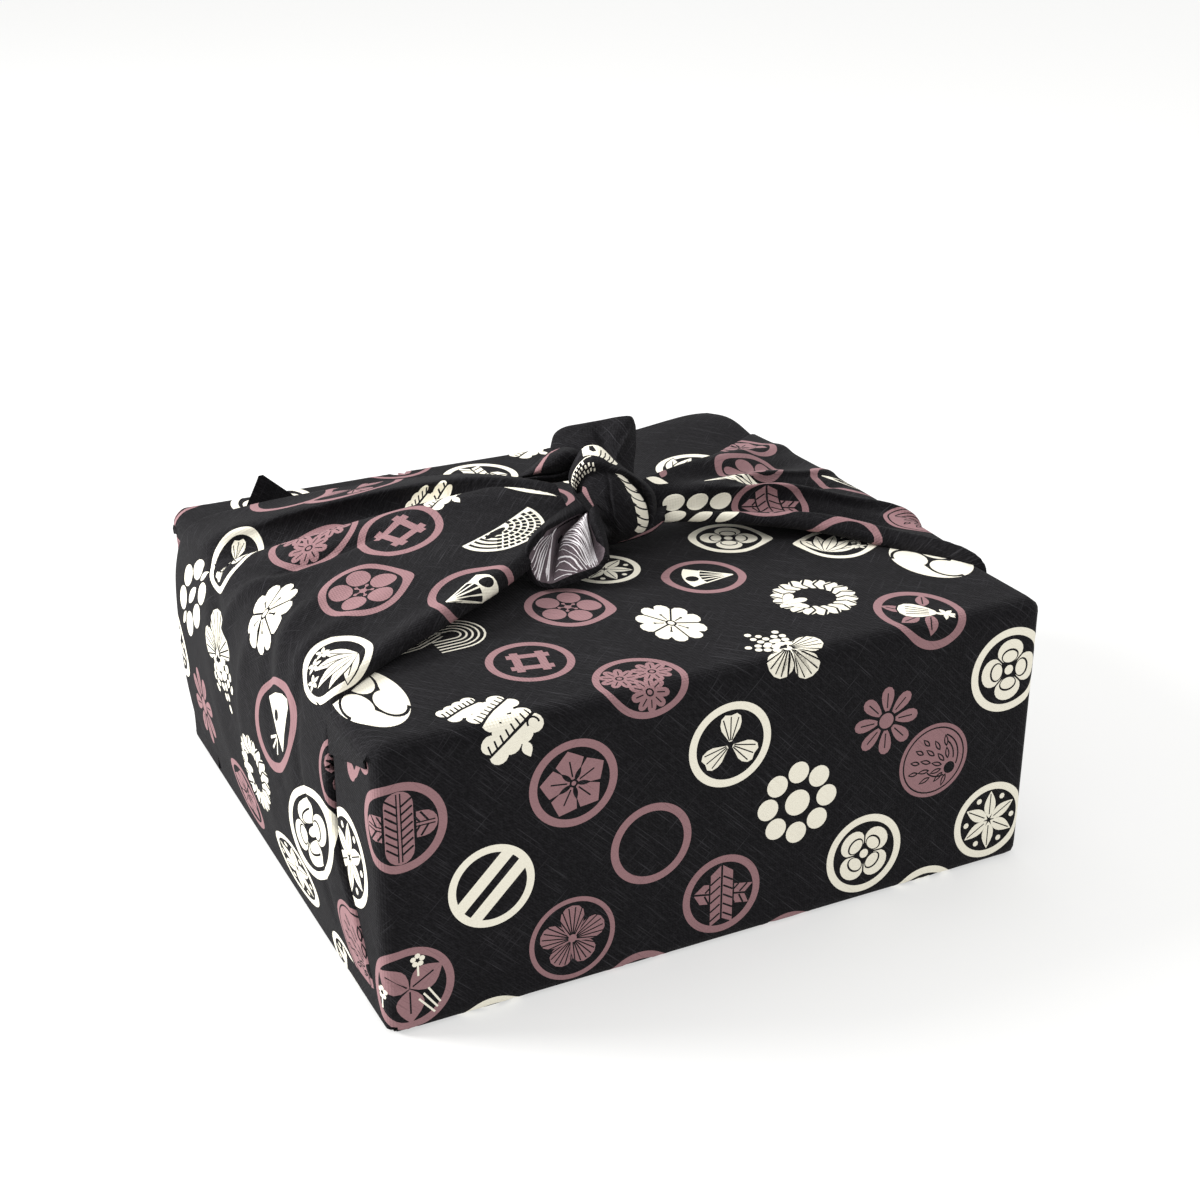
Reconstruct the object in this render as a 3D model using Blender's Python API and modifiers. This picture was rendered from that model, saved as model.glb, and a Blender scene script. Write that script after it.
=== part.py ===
"""A square cotton furoshiki tied round a low box, as one filled solid of cloth.

The cloth lies under the box, its front corner goes up the front face and over the top, its back
corner up the back face, and its left and right corners are drawn up over the side edges into a
square knot on top. The tool builds the outside of that bundle: a soft-edged body, two ties that
fan from the side faces to the knot, a dog ear, a puffed back corner, the knot and its two tails.

Metres, +X along the front face, -Y to the front, +Z up. The origin is under the middle of the
body, on the surface that the bundle stands on.
"""

import math

import bmesh
import bpy
from mathutils import Vector

MM = 0.001

# The bundle, outside the cloth
BODY_WIDTH = 303 * MM
BODY_DEPTH = 279 * MM
BODY_HEIGHT = 125 * MM
TOP_RADIUS = 5 * MM  # soft bend over the upper edges
FOOT_RADIUS = 3.5 * MM  # tighter bend where the weight rests
BODY_CUTS = 13  # grid lines across each side of the body

# The sheets
CLOTH = 2.2 * MM  # thickness of a loose layer, as a doubled cotton hem has
SEAT = 9 * MM  # how far a tie's underside reaches into the body
PUFF_HEIGHT = 7 * MM  # the loose back right corner stands this far above the top
PUFF_REACH = (42 * MM, 29 * MM)  # along the width and the depth
PUFF_FROM_SIDE = 6 * MM
PUFF_FROM_BACK = 12 * MM
ROLL_SHARE = 0.07  # share of a tie's width in which its edge rolls under
ROLL_DROP = 6.0  # millimetres that the rolled edge comes down by
TIE_STEPS = 30  # along a tie, foot to knot
TIE_LANES = 20  # across a tie, front edge to back edge
BAND_SIDES = 14  # round a knotted band
BAND_STEPS = 15  # along a knotted band
LOOK_AHEAD = 0.02  # share of a band over which its direction is read

BLACK_COTTON = (0.013, 0.012, 0.013, 1.0)

# A tie's cross-sections from the foot of its side face to the knot, in millimetres. out is how far
# the section stands from the middle plane, front and back are the y of its edges, low and high
# the z of those edges, crown the swell between them and lean the way it swells: 0 is sideways,
# 90 is up. front_in moves the front edge nearer the knot than the back one.
TIE_COLUMNS = ("out", "front_in", "front", "back", "low", "high", "crown", "lean")
LEFT_TIE = (
    (152.0, 0, -133, 129, 3, 3, 0.5, 0),
    (153.0, 0, -114, 136, 34, 34, 1.5, 0),
    (153.5, 0, -91, 138, 68, 66, 2.5, 0),
    (153.0, 0, -90, 132, 100, 98, 2.5, 10),
    (149.0, 1, -92, 113, 125, 123, 2.5, 45),
    (126.0, -2, -79, 112, 129, 128, 3.0, 90),
    (94.0, -2, -64, 106, 133, 132, 4.0, 90),
    (62.0, 2, -46, 92, 138, 137, 5.0, 90),
    (32.0, 3, -27, 62, 142, 146, 5.0, 90),
    (8.0, 0, -10, 20, 142, 154, 2.0, 90),
)
RIGHT_TIE = (
    (152.0, 0, -130, 130, 3, 3, 0.5, 0),
    (153.0, 0, -116, 128, 34, 34, 1.5, 0),
    (153.5, 0, -98, 122, 68, 66, 2.5, 0),
    (153.0, 0, -94, 110, 100, 98, 2.5, 10),
    (149.0, 0, -93, 98, 125, 126, 2.0, 45),
    (126.0, 0, -70, 84, 129, 131, 3.0, 90),
    (98.0, 0, -50, 64, 133, 136, 4.0, 90),
    (72.0, 0, -35, 42, 135, 143, 4.0, 90),
    (50.0, 0, -20, 24, 137, 148, 3.0, 90),
    (30.0, 0, -8, 10, 138, 150, 1.0, 90),
)

# Folds that run along a tie. start and end are shares of its length, side_lane and knot_lane are
# shares of its width at those ends, half is the half width as a share too, and rise is in
# millimetres: a ridge is above zero, a trough below.
FOLD_COLUMNS = ("start", "end", "side_lane", "knot_lane", "half", "rise")
LEFT_FOLDS = (
    (0.30, 1.02, 0.03, 0.06, 0.09, 4.0),
    (0.46, 1.00, 0.30, 0.36, 0.10, -4.0),
    (0.42, 1.02, 0.56, 0.58, 0.14, 5.0),
    (0.46, 0.98, 0.74, 0.72, 0.09, -6.0),
    (0.44, 1.05, 0.90, 0.90, 0.12, 6.0),
    (0.02, 0.44, 0.40, 0.44, 0.06, 2.0),
    (0.02, 0.46, 0.62, 0.66, 0.07, 2.0),
)
RIGHT_FOLDS = (
    (0.40, 1.02, 0.05, 0.10, 0.12, 4.5),
    (0.46, 1.00, 0.30, 0.28, 0.09, -5.0),
    (0.44, 1.02, 0.52, 0.46, 0.12, 6.0),
    (0.50, 1.00, 0.72, 0.66, 0.09, -5.0),
    (0.44, 1.05, 0.92, 0.90, 0.10, 5.0),
    (0.02, 0.44, 0.36, 0.34, 0.06, 2.0),
)

# A knotted band's path: its middle, half width and half thickness in millimetres. The flat side
# faces the knot's middle.
BAND_COLUMNS = ("x", "y", "z", "half_width", "half_thick")
FRONT_BAND = (
    (12, 16, 148, 10, 7),
    (8, 8, 160, 13, 7),
    (10, -6, 159, 15, 8),
    (15, -14, 146, 16, 9),
    (20, -14, 134, 14, 8),
    (24, -6, 126, 9, 6),
)
TOP_BAND = (
    (-6, -3, 140, 7, 5),
    (-5, -2, 153, 9, 6),
    (3, 2, 166, 11, 6),
    (16, 4, 168, 11, 6),
    (29, 3, 158, 10, 6),
    (36, 2, 144, 9, 6),
    (35, 0, 130, 7, 5),
)
KNOT_MIDDLE = (17, 1, 144)
KNOT_HALF_SIZES = (19, 15, 19)

# A tail's cross-sections from the knot to the hem, in millimetres: its middle, the reach of its
# curl to each side and through its depth, and the two angles in degrees where the curl begins and
# ends, measured about the tail from straight down.
TAIL_COLUMNS = ("x", "y", "z", "side", "depth", "from", "to")
FRONT_TAIL = (
    (3, -12, 151, 6, 6, -150, 150),
    (-5, -19, 147, 10, 9, -145, 145),
    (-13, -25, 141, 14, 11, -140, 140),
    (-18, -29, 136, 17, 11, -135, 135),
)
BACK_TAIL = (
    (14, 8, 150, 9, -3, -85, 85),
    (17, 18, 158, 15, -4, -85, 85),
    (22, 29, 164, 21, -5, -85, 85),
    (25, 40, 166, 23, -6, -85, 85),
)

TAIL_PITCH = math.radians(19)  # how far a tail's section leans back from upright

# The dog ear: a doubled corner of cloth that stands behind the left tie
EAR_BASE_LEFT = (-125, 112, 120)
EAR_BASE_RIGHT = (-94, 118, 121)
EAR_TIP = (-112, 116, 140)
EAR_TIP_SHARE = 0.06  # width left at the tip
EAR_BOW = 2.0  # the base bows forward by this much


def clear_scene():
    for thing in list(bpy.data.objects):
        bpy.data.objects.remove(thing, do_unlink=True)


def new_collection(name):
    group = bpy.data.collections.new(name)
    bpy.context.scene.collection.children.link(group)
    return group


def cotton(name):
    material = bpy.data.materials.new(name)
    material.use_nodes = True
    shader = material.node_tree.nodes["Principled BSDF"]
    shader.inputs["Base Color"].default_value = BLACK_COTTON
    shader.inputs["Roughness"].default_value = 0.9
    shader.inputs["Metallic"].default_value = 0.0
    return material


def add_object(name, mesh_maker, group):
    mesh = bpy.data.meshes.new(name)
    shape = bmesh.new()
    mesh_maker(shape)
    bmesh.ops.recalc_face_normals(shape, faces=shape.faces)
    shape.to_mesh(mesh)
    shape.free()
    thing = bpy.data.objects.new(name, mesh)
    group.objects.link(thing)
    return thing


def as_rows(columns, table):
    return [dict(zip(columns, row)) for row in table]


def smooth_row(rows, place):
    """The row at a share of the table's length, on a smooth curve through all its rows."""
    spot = min(max(place, 0.0), 1.0) * (len(rows) - 1)
    first = min(int(spot), len(rows) - 2)
    t = spot - first
    before = rows[max(first - 1, 0)]
    after = rows[min(first + 2, len(rows) - 1)]
    result = {}
    for key in rows[0]:
        a, b, c, d = before[key], rows[first][key], rows[first + 1][key], after[key]
        bend = 2 * a - 5 * b + 4 * c - d + (3 * b - a - 3 * c + d) * t
        result[key] = b + 0.5 * t * (c - a + t * bend)
    return result


def soft_step(value):
    value = min(max(value, 0.0), 1.0)
    return value * value * (3 - 2 * value)


# The body


def edge_spacing(share):
    """Sends an even grid from -1 to 1 to one that is closer near the edges."""
    return math.sin(share * math.pi / 2)


def puff(x, y):
    """How far the top stands proud near the back right corner."""
    dx = (x - BODY_WIDTH / 2 + PUFF_FROM_SIDE) / PUFF_REACH[0]
    dy = (y - BODY_DEPTH / 2 + PUFF_FROM_BACK) / PUFF_REACH[1]
    return PUFF_HEIGHT * math.exp(-dx * dx - dy * dy)


def body_point(corner):
    """A point of the cube from -1 to 1, sent to the soft-edged body."""
    half = Vector((BODY_WIDTH / 2, BODY_DEPTH / 2, BODY_HEIGHT / 2))
    spot = Vector(edge_spacing(corner[i]) * half[i] for i in range(3))
    level = (spot.z / half.z + 1) / 2
    radius = FOOT_RADIUS + (TOP_RADIUS - FOOT_RADIUS) * soft_step(level)
    core = Vector(min(max(spot[i], radius - half[i]), half[i] - radius) for i in range(3))
    reach = spot - core
    point = core + reach.normalized() * radius if reach.length > 0 else spot
    point.z += half.z
    point.z += puff(point.x, point.y) * soft_step((level - 0.8) / 0.2)
    return point


def make_body(shape):
    bmesh.ops.create_cube(shape, size=2.0)
    bmesh.ops.subdivide_edges(shape, edges=shape.edges, cuts=BODY_CUTS, use_grid_fill=True)
    for vertex in shape.verts:
        vertex.co = body_point(vertex.co)


# The ties


def fold_lift(folds, along, across):
    """The height of all folds at one place on a tie, in millimetres."""
    lift = 0.0
    for fold in folds:
        share = (along - fold["start"]) / (fold["end"] - fold["start"])
        if not 0 < share < 1:
            continue
        lane = fold["side_lane"] + (fold["knot_lane"] - fold["side_lane"]) * share
        reach = (across - lane) / fold["half"]
        lift += fold["rise"] * math.exp(-reach * reach) * math.sin(math.pi * share) ** 0.6
    return lift


def edge_roll(across):
    """How far a tie's rolled edge has come down, in millimetres."""
    inward = min(across, 1 - across) / ROLL_SHARE
    if inward >= 1:
        return 0.0
    return ROLL_DROP * (1 - math.sqrt(1 - (1 - inward) ** 2))


def tie_point(rows, folds, side, along, across):
    row = smooth_row(rows, along)
    base = Vector((
        side * (row["out"] - row["front_in"] * (1 - across)),
        row["front"] + (row["back"] - row["front"]) * across,
        row["low"] + (row["high"] - row["low"]) * across,
    ))
    lift = row["crown"] * 4 * across * (1 - across) + fold_lift(folds, along, across)
    lift -= edge_roll(across) * min(1.0, row["low"] / 60)
    lean = math.radians(row["lean"])
    outward = Vector((side * math.cos(lean), 0, math.sin(lean)))
    return (base + outward * lift) * MM


def seat_point(point):
    """The nearest point inside the body, for the hidden underside of a layer."""
    half = Vector((BODY_WIDTH / 2 - SEAT, BODY_DEPTH / 2 - SEAT, 0))
    return Vector((
        min(max(point.x, -half.x), half.x),
        min(max(point.y, -half.y), half.y),
        min(max(point.z, SEAT), BODY_HEIGHT - SEAT),
    ))


def make_tie(table, fold_table, side):
    rows = as_rows(TIE_COLUMNS, table)
    folds = as_rows(FOLD_COLUMNS, fold_table)

    def build(shape):
        bmesh.ops.create_grid(shape, x_segments=TIE_STEPS, y_segments=TIE_LANES, size=0.5)
        skin = list(shape.verts)
        for vertex in skin:
            along, across = vertex.co.x + 0.5, vertex.co.y + 0.5
            vertex.co = tie_point(rows, folds, side, along, across)
        skirt = bmesh.ops.extrude_face_region(shape, geom=shape.faces[:] + shape.edges[:] + skin)
        for vertex in skirt["geom"]:
            if isinstance(vertex, bmesh.types.BMVert):
                vertex.co = seat_point(vertex.co)

    return build


# The knot


def band_ring(rows, place):
    """One closed cross-section of a knotted band."""
    row = smooth_row(rows, place)
    ahead, behind = smooth_row(rows, place + LOOK_AHEAD), smooth_row(rows, place - LOOK_AHEAD)
    way = Vector((ahead[k] - behind[k]) for k in ("x", "y", "z")).normalized()
    middle = Vector(row[k] for k in ("x", "y", "z"))
    from_knot = middle - Vector(KNOT_MIDDLE)
    thick_way = (from_knot - way * from_knot.dot(way)).normalized()
    wide_way = way.cross(thick_way)
    ring = []
    for count in range(BAND_SIDES):
        angle = 2 * math.pi * count / BAND_SIDES
        wide = wide_way * (row["half_width"] * math.cos(angle))
        thick = thick_way * (row["half_thick"] * math.sin(angle))
        ring.append((middle + wide + thick) * MM)
    return ring


def make_band(table):
    rows = as_rows(BAND_COLUMNS, table)

    def build(shape):
        rings = []
        for count in range(BAND_STEPS):
            ring = band_ring(rows, count / (BAND_STEPS - 1))
            rings.append([shape.verts.new(point) for point in ring])
        for ring, following in zip(rings, rings[1:]):
            for i in range(BAND_SIDES):
                j = (i + 1) % BAND_SIDES
                shape.faces.new((ring[i], ring[j], following[j], following[i]))
        shape.faces.new(rings[0])
        shape.faces.new(rings[-1])

    return build


def make_core(shape):
    bmesh.ops.create_uvsphere(shape, u_segments=16, v_segments=10, radius=1.0)
    for vertex in shape.verts:
        for i in range(3):
            vertex.co[i] = (KNOT_MIDDLE[i] + KNOT_HALF_SIZES[i] * vertex.co[i]) * MM


# Loose sheets: the tails and the ear


def tail_point(rows, along, across):
    row = smooth_row(rows, along)
    angle = math.radians(row["from"] + (row["to"] - row["from"]) * across)
    flat_way = Vector((1, 0, 0))
    deep_way = Vector((0, math.sin(TAIL_PITCH), math.cos(TAIL_PITCH)))
    middle = Vector(row[k] for k in ("x", "y", "z"))
    sideways = flat_way * (row["side"] * math.sin(angle))
    down = deep_way * (-row["depth"] * math.cos(angle))
    return (middle + sideways + down) * MM


def ear_point(along, across):
    left, right, tip = Vector(EAR_BASE_LEFT), Vector(EAR_BASE_RIGHT), Vector(EAR_TIP)
    base = left.lerp(right, across)
    narrow = tip + (right - left) * EAR_TIP_SHARE * (across - 0.5)
    bow = Vector((0, -EAR_BOW * math.sin(math.pi * across) * (1 - along), 0))
    return (base.lerp(narrow, along) + bow) * MM


def add_sheet(name, point_at, steps, lanes, group):
    """A grid moved by a rule and given the cloth's thickness."""

    def build(shape):
        bmesh.ops.create_grid(shape, x_segments=steps, y_segments=lanes, size=0.5)
        for vertex in shape.verts:
            vertex.co = point_at(vertex.co.x + 0.5, vertex.co.y + 0.5)

    thing = add_object(name, build, group)
    thick = thing.modifiers.new("thickness", "SOLIDIFY")
    thick.thickness = CLOTH
    thick.offset = 0.0
    return thing


def join(target, piece):
    union = target.modifiers.new(piece.name, "BOOLEAN")
    union.operation = "UNION"
    union.solver = "EXACT"
    union.use_self = True  # a curled sheet may meet itself where it enters the knot
    union.object = piece
    piece.hide_render = True
    piece.display_type = "WIRE"


def main():
    clear_scene()
    parts = new_collection("furoshiki_wrap")
    helpers = new_collection("layers_joined_in")

    wrap = add_object("furoshiki", make_body, parts)
    wrap.data.materials.append(cotton("black_cotton"))

    front_rows = as_rows(TAIL_COLUMNS, FRONT_TAIL)
    back_rows = as_rows(TAIL_COLUMNS, BACK_TAIL)
    layers = [
        add_object("left_tie", make_tie(LEFT_TIE, LEFT_FOLDS, -1), helpers),
        add_object("right_tie", make_tie(RIGHT_TIE, RIGHT_FOLDS, 1), helpers),
        add_object("knot_core", make_core, helpers),
        add_object("front_band", make_band(FRONT_BAND), helpers),
        add_object("top_band", make_band(TOP_BAND), helpers),
        add_sheet("front_tail", lambda a, b: tail_point(front_rows, a, b), 9, 16, helpers),
        add_sheet("back_tail", lambda a, b: tail_point(back_rows, a, b), 9, 12, helpers),
        add_sheet("ear", ear_point, 5, 5, helpers),
    ]
    for layer in layers:
        join(wrap, layer)


main()
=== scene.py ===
# %% [markdown]
# # A furoshiki tied round a box
# A furoshiki is a square cloth that wraps a box for carrying. The box stands in the middle of the
# cloth. The front corner goes up the front face and over the top, the back corner up the back
# face, and the left and right corners are drawn up over the side edges and tied in a square knot.
#
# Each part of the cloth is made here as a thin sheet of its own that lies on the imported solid: a
# rule says where a point of the cloth goes in space, and the print is cut into the flat cloth
# before the rule bends it. That is how the real print bends too, so a ring that runs over a fold
# is drawn out by the fold.

# %% The frame
import math

import bmesh
import bpy
import numpy as np
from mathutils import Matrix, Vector, kdtree
from mathutils.geometry import delaunay_2d_cdt


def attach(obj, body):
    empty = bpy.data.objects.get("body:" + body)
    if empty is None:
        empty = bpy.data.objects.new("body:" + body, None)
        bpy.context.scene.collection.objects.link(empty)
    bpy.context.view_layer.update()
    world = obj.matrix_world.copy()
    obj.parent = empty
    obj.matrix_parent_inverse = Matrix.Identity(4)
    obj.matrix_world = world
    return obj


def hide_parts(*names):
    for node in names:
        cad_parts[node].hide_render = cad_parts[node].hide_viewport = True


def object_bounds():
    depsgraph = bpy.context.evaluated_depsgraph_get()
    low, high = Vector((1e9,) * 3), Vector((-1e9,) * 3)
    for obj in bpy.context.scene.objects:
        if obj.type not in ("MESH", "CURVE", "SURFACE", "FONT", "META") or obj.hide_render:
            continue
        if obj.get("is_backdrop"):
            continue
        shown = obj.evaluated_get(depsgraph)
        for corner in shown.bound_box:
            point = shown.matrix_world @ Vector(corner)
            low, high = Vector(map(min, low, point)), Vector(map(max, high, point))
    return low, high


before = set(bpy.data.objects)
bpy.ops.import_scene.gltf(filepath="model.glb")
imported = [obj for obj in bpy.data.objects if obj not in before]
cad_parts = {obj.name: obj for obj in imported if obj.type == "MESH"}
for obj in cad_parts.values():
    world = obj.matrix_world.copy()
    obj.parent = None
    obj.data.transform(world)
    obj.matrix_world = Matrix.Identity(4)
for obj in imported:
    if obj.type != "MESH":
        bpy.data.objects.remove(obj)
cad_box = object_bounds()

MM = 0.001  # the tables below are in millimetres, Blender's units are metres
BODY = "root"
NODE = "furoshiki"
print("packed solid:", NODE, "from", cad_box[0], "to", cad_box[1])

# %% [markdown]
# ## The camera
# It stands a little above the box and to its left, so that the front, the left side and the top
# all show. Its direction is given as a turn about the vertical and a rise above the floor.

# %% Camera
CAMERA_PLACE = Vector((-0.34073, -0.69766, 0.44353))
CAMERA_TURN = math.radians(-26.65)
CAMERA_RISE = math.radians(23.92)
LENS = 55.82
SENSOR = 36.0


def add_camera():
    data = bpy.data.cameras.new("camera")
    data.lens = LENS
    data.sensor_width = SENSOR
    data.clip_end = 50
    camera = bpy.data.objects.new("camera", data)
    bpy.context.scene.collection.objects.link(camera)
    level = math.cos(CAMERA_RISE)
    away = Vector((
        math.sin(CAMERA_TURN) * level,
        -math.cos(CAMERA_TURN) * level,
        math.sin(CAMERA_RISE),
    ))
    camera.location = CAMERA_PLACE
    camera.rotation_euler = away.to_track_quat("Z", "Y").to_euler()
    return camera


bpy.context.scene.camera = add_camera()
print("camera", tuple(round(value, 3) for value in CAMERA_PLACE), "lens", LENS)

# %% [markdown]
# ## Materials
# The cloth is a plain-weave cotton with slubs: threads that are now and then thicker, which show
# as short pale streaks along both thread directions. The ground is dyed charcoal black, and two
# inks, cream and dusty mauve, are printed on it. Ink lies in the weave, so all three share one
# set of nodes and differ in colour and in how strongly the threads show. A tiled image of cloth
# could give the threads too, but noise textures need no file and never repeat.
#
# The nodes read the sheet's own UV map, which holds the flat cloth in metres, so the weave
# follows every fold. The threads run at 45 degrees to the box, because the box stands
# cornerwise on the cloth.

# %% Node helpers


def linear(hex_colour):
    """An sRGB hex value as Blender's linear colour."""
    channels = []
    for i in (0, 2, 4):
        value = int(hex_colour[i:i + 2], 16) / 255
        channels.append(value / 12.92 if value <= 0.04045 else ((value + 0.055) / 1.055) ** 2.4)
    return (*channels, 1.0)


def add_node(tree, kind, settings=(), values=(), links=()):
    """Adds one node: settings are its properties, values its sockets, links what feeds them."""
    node = tree.nodes.new(kind)
    for name, value in dict(settings).items():
        setattr(node, name, value)
    for name, value in dict(values).items():
        node.inputs[name].default_value = value
    for name, source in dict(links).items():
        tree.links.new(source, node.inputs[name])
    return node


# %% Cotton
MATH = "ShaderNodeMath"
RANGE = "ShaderNodeMapRange"
THREAD = 0.9 * MM  # the real pitch is about 0.45 mm, drawn coarser so that it shows
THREAD_WIDTH = 0.6 * MM  # of a thread that shows by itself
SLUB_LENGTH = 26 * MM  # how long a thick thread runs
GRAIN_LENGTH = 3 * MM  # how long the fine unevenness runs
SLUB_SPAN = (0.60, 0.78)  # noise below the first value is even cloth, above the second a slub
GRAIN_SPAN = (0.42, 0.75)
GRAIN_SHARE = 0.3  # of the slubs' strength
WEFT_SHARE = 0.94
WEAVE_HEIGHT = 0.12 * MM
WEAVE_STRENGTH = 0.6
ROUGHNESS_SWING = 0.06  # thick threads are this much rougher than the middle value
SPECULAR = 0.08
SHEEN_ROUGHNESS = 0.5


def thread_streaks(tree, uv, way, seed, length):
    """Uneven threads along one direction of the cloth, from 0 to 1."""
    across, along = 1 / THREAD_WIDTH, 1 / length
    scale = (along, across, 1) if way == "warp" else (across, along, 1)
    mapping = add_node(
        tree, "ShaderNodeMapping",
        values={"Location": (seed, seed * 1.7, 0), "Scale": scale},
        links={"Vector": uv},
    )
    noise = add_node(
        tree, "ShaderNodeTexNoise",
        settings={"noise_dimensions": "2D"},
        values={"Scale": 1.0, "Detail": 2.0, "Roughness": 0.6},
        links={"Vector": mapping.outputs[0]},
    )
    return noise.outputs["Fac"]


def weave_height(tree, uv):
    """Over-and-under of a plain weave, from -1 to 1."""
    parts = add_node(tree, "ShaderNodeSeparateXYZ", links={"Vector": uv})
    times = {"operation": "MULTIPLY"}
    waves = {}
    for place, axis in enumerate(("X", "Y")):
        angle = add_node(tree, MATH, times, {1: math.pi / THREAD}, {0: parts.outputs[axis]})
        wave = add_node(tree, MATH, {"operation": "SINE"}, links={0: angle.outputs[0]})
        waves[place] = wave.outputs[0]
    return add_node(tree, MATH, times, links=waves).outputs[0]


def between(low, high, to_low, to_high):
    """The four ends that a Map Range node needs."""
    return {"From Min": low, "From Max": high, "To Min": to_low, "To Max": to_high}


def cotton(name, colour, thread_colour, streak, roughness, sheen):
    """Printed or dyed cotton. streak is how strongly single threads show."""
    material = bpy.data.materials.new(name)
    material.use_nodes = True
    tree = material.node_tree
    shader = tree.nodes["Principled BSDF"]
    uv = add_node(tree, "ShaderNodeUVMap", settings={"uv_map": "cloth"}).outputs[0]
    warp = thread_streaks(tree, uv, "warp", 3.1, SLUB_LENGTH)
    weft = thread_streaks(tree, uv, "weft", 8.4, SLUB_LENGTH)
    grain = thread_streaks(tree, uv, "warp", 5.7, GRAIN_LENGTH)
    most = {"operation": "MAXIMUM"}
    thinner = add_node(tree, MATH, {"operation": "MULTIPLY"}, {1: WEFT_SHARE}, {0: weft}).outputs[0]
    threads = add_node(tree, MATH, most, links={0: warp, 1: thinner}).outputs[0]
    slub_ends = between(*SLUB_SPAN, 0.0, streak)
    slubs = add_node(tree, RANGE, values=slub_ends, links={"Value": threads}).outputs[0]
    grain_ends = between(*GRAIN_SPAN, 0.0, GRAIN_SHARE * streak)
    fine = add_node(tree, RANGE, values=grain_ends, links={"Value": grain}).outputs[0]
    pale = add_node(tree, MATH, most, links={0: slubs, 1: fine}).outputs[0]
    mix = add_node(tree, "ShaderNodeMix", settings={"data_type": "RGBA"})
    mix.inputs[6].default_value = linear(colour)
    mix.inputs[7].default_value = linear(thread_colour)
    tree.links.new(pale, mix.inputs[0])
    tree.links.new(mix.outputs[2], shader.inputs["Base Color"])
    relief = {0: weave_height(tree, uv), 1: threads}
    height = add_node(tree, MATH, {"operation": "ADD"}, links=relief).outputs[0]
    bump = add_node(
        tree, "ShaderNodeBump",
        values={"Strength": WEAVE_STRENGTH, "Distance": WEAVE_HEIGHT},
        links={"Height": height},
    )
    tree.links.new(bump.outputs[0], shader.inputs["Normal"])
    rough_ends = between(0.0, 1.0, roughness - ROUGHNESS_SWING, roughness + ROUGHNESS_SWING)
    rough = add_node(tree, RANGE, values=rough_ends, links={"Value": threads})
    tree.links.new(rough.outputs[0], shader.inputs["Roughness"])
    shader.inputs["Specular IOR Level"].default_value = SPECULAR
    shader.inputs["Sheen Weight"].default_value = sheen
    shader.inputs["Sheen Roughness"].default_value = SHEEN_ROUGHNESS
    return material


GROUND, CREAM, MAUVE, REVERSE, PALE = range(5)
cloth_materials = [
    # dyed through: a deep, soft black in which only the thick threads catch the light
    cotton("charcoal_dyed_cotton", "121113", "38373a", 0.9, 0.9, 0.02),
    # ink that covers the threads: flat and warm, with a few threads as faint lines
    cotton("cream_ink_on_cotton", "f1ecdb", "d9d2bf", 0.5, 0.80, 0.05),
    # a thinner ink: dusty, and darker on the thick threads
    cotton("mauve_ink_on_cotton", "947174", "6f5356", 0.6, 0.82, 0.05),
    # the cloth's other side: a dull grey mauve, lighter on the thick threads
    cotton("woven_reverse", "5d5257", "8f8489", 0.6, 0.85, 0.05),
    # its fine lines, nearly white against the grey
    cotton("pale_thread_on_reverse", "ece8ea", "c9c2c6", 0.4, 0.85, 0.05),
]
print("materials:", [material.name for material in cloth_materials])

# %% [markdown]
# ## The print
# The cloth is strewn with round motifs about 40 mm across, many of them inside a ring: flowers,
# leaves, discs, bars, swirls. Each motif is a short list of outlines with their ink, painted in
# order, so that a later outline covers an earlier one. The outlines are drawn by a few shape
# functions in millimetres about the motif's own middle. The print could be an image on the UV
# map, but that would blur close up, so it is made of real outlines with an ink each.

# %% Shape functions
RING_OUTER = 20.0
RING_INNER = 16.4
FINE = 0.7  # the narrowest line that still shows


def turned(points, degrees, x=0.0, y=0.0):
    """Points turned about the middle, then moved."""
    cosine, sine = math.cos(math.radians(degrees)), math.sin(math.radians(degrees))
    return np.asarray(points, float) @ np.array(((cosine, sine), (-sine, cosine))) + (x, y)


def oval(wide, tall, x=0.0, y=0.0, turn=0.0, sides=20):
    angles = np.arange(sides) * (2 * math.pi / sides)
    return turned(np.stack((wide * np.cos(angles), tall * np.sin(angles)), 1), turn, x, y)


def disc(radius, x=0.0, y=0.0, sides=20):
    return oval(radius, radius, x, y, 0.0, sides)


def leaf(length, width, start=0.0, turn=0.0, belly=0.45, steps=7):
    """A leaf that points up from start, sharp at both ends."""
    share = np.linspace(0, 1, steps + 1)
    side = width / 2 * np.sin(math.pi * share ** (math.log(0.5) / math.log(belly)))
    up = start + length * share
    right = np.stack((side, up), 1)
    left = np.stack((-side[-2:0:-1], up[-2:0:-1]), 1)
    return turned(np.vstack((right, left)), turn)


def petal(length, width, start=0.0, turn=0.0, notch=0.0, steps=14):
    """A petal that is narrow at start and round at the tip, with a notch there."""
    angle = np.linspace(-0.5, 1.5, steps, endpoint=False) * math.pi
    rise = (1 + np.sin(angle)) / 2
    side = width / 2 * np.cos(angle) * (0.45 + 0.55 * rise)
    up = start + length * rise - notch * np.exp(-(side / (0.16 * width)) ** 2) * (rise > 0.5)
    return turned(np.stack((side, up), 1), turn)


def bar(length, width, x=0.0, y=0.0, turn=0.0):
    half = np.array(((-1, -1), (1, -1), (1, 1), (-1, 1))) * (length / 2, width / 2)
    return turned(half, turn, x, y)


def stroke(points, width=FINE):
    """A line of one width through points."""
    points = np.asarray(points, float)
    way = np.gradient(points, axis=0)
    way /= np.linalg.norm(way, axis=1)[:, None] + 1e-9
    side = np.stack((-way[:, 1], way[:, 0]), 1) * (width / 2)
    return np.vstack((points + side, (points - side)[::-1]))


def arc(radius, start, end, x=0.0, y=0.0, steps=10):
    angles = np.radians(np.linspace(start, end, steps + 1))
    return np.stack((x + radius * np.cos(angles), y + radius * np.sin(angles)), 1)


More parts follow.
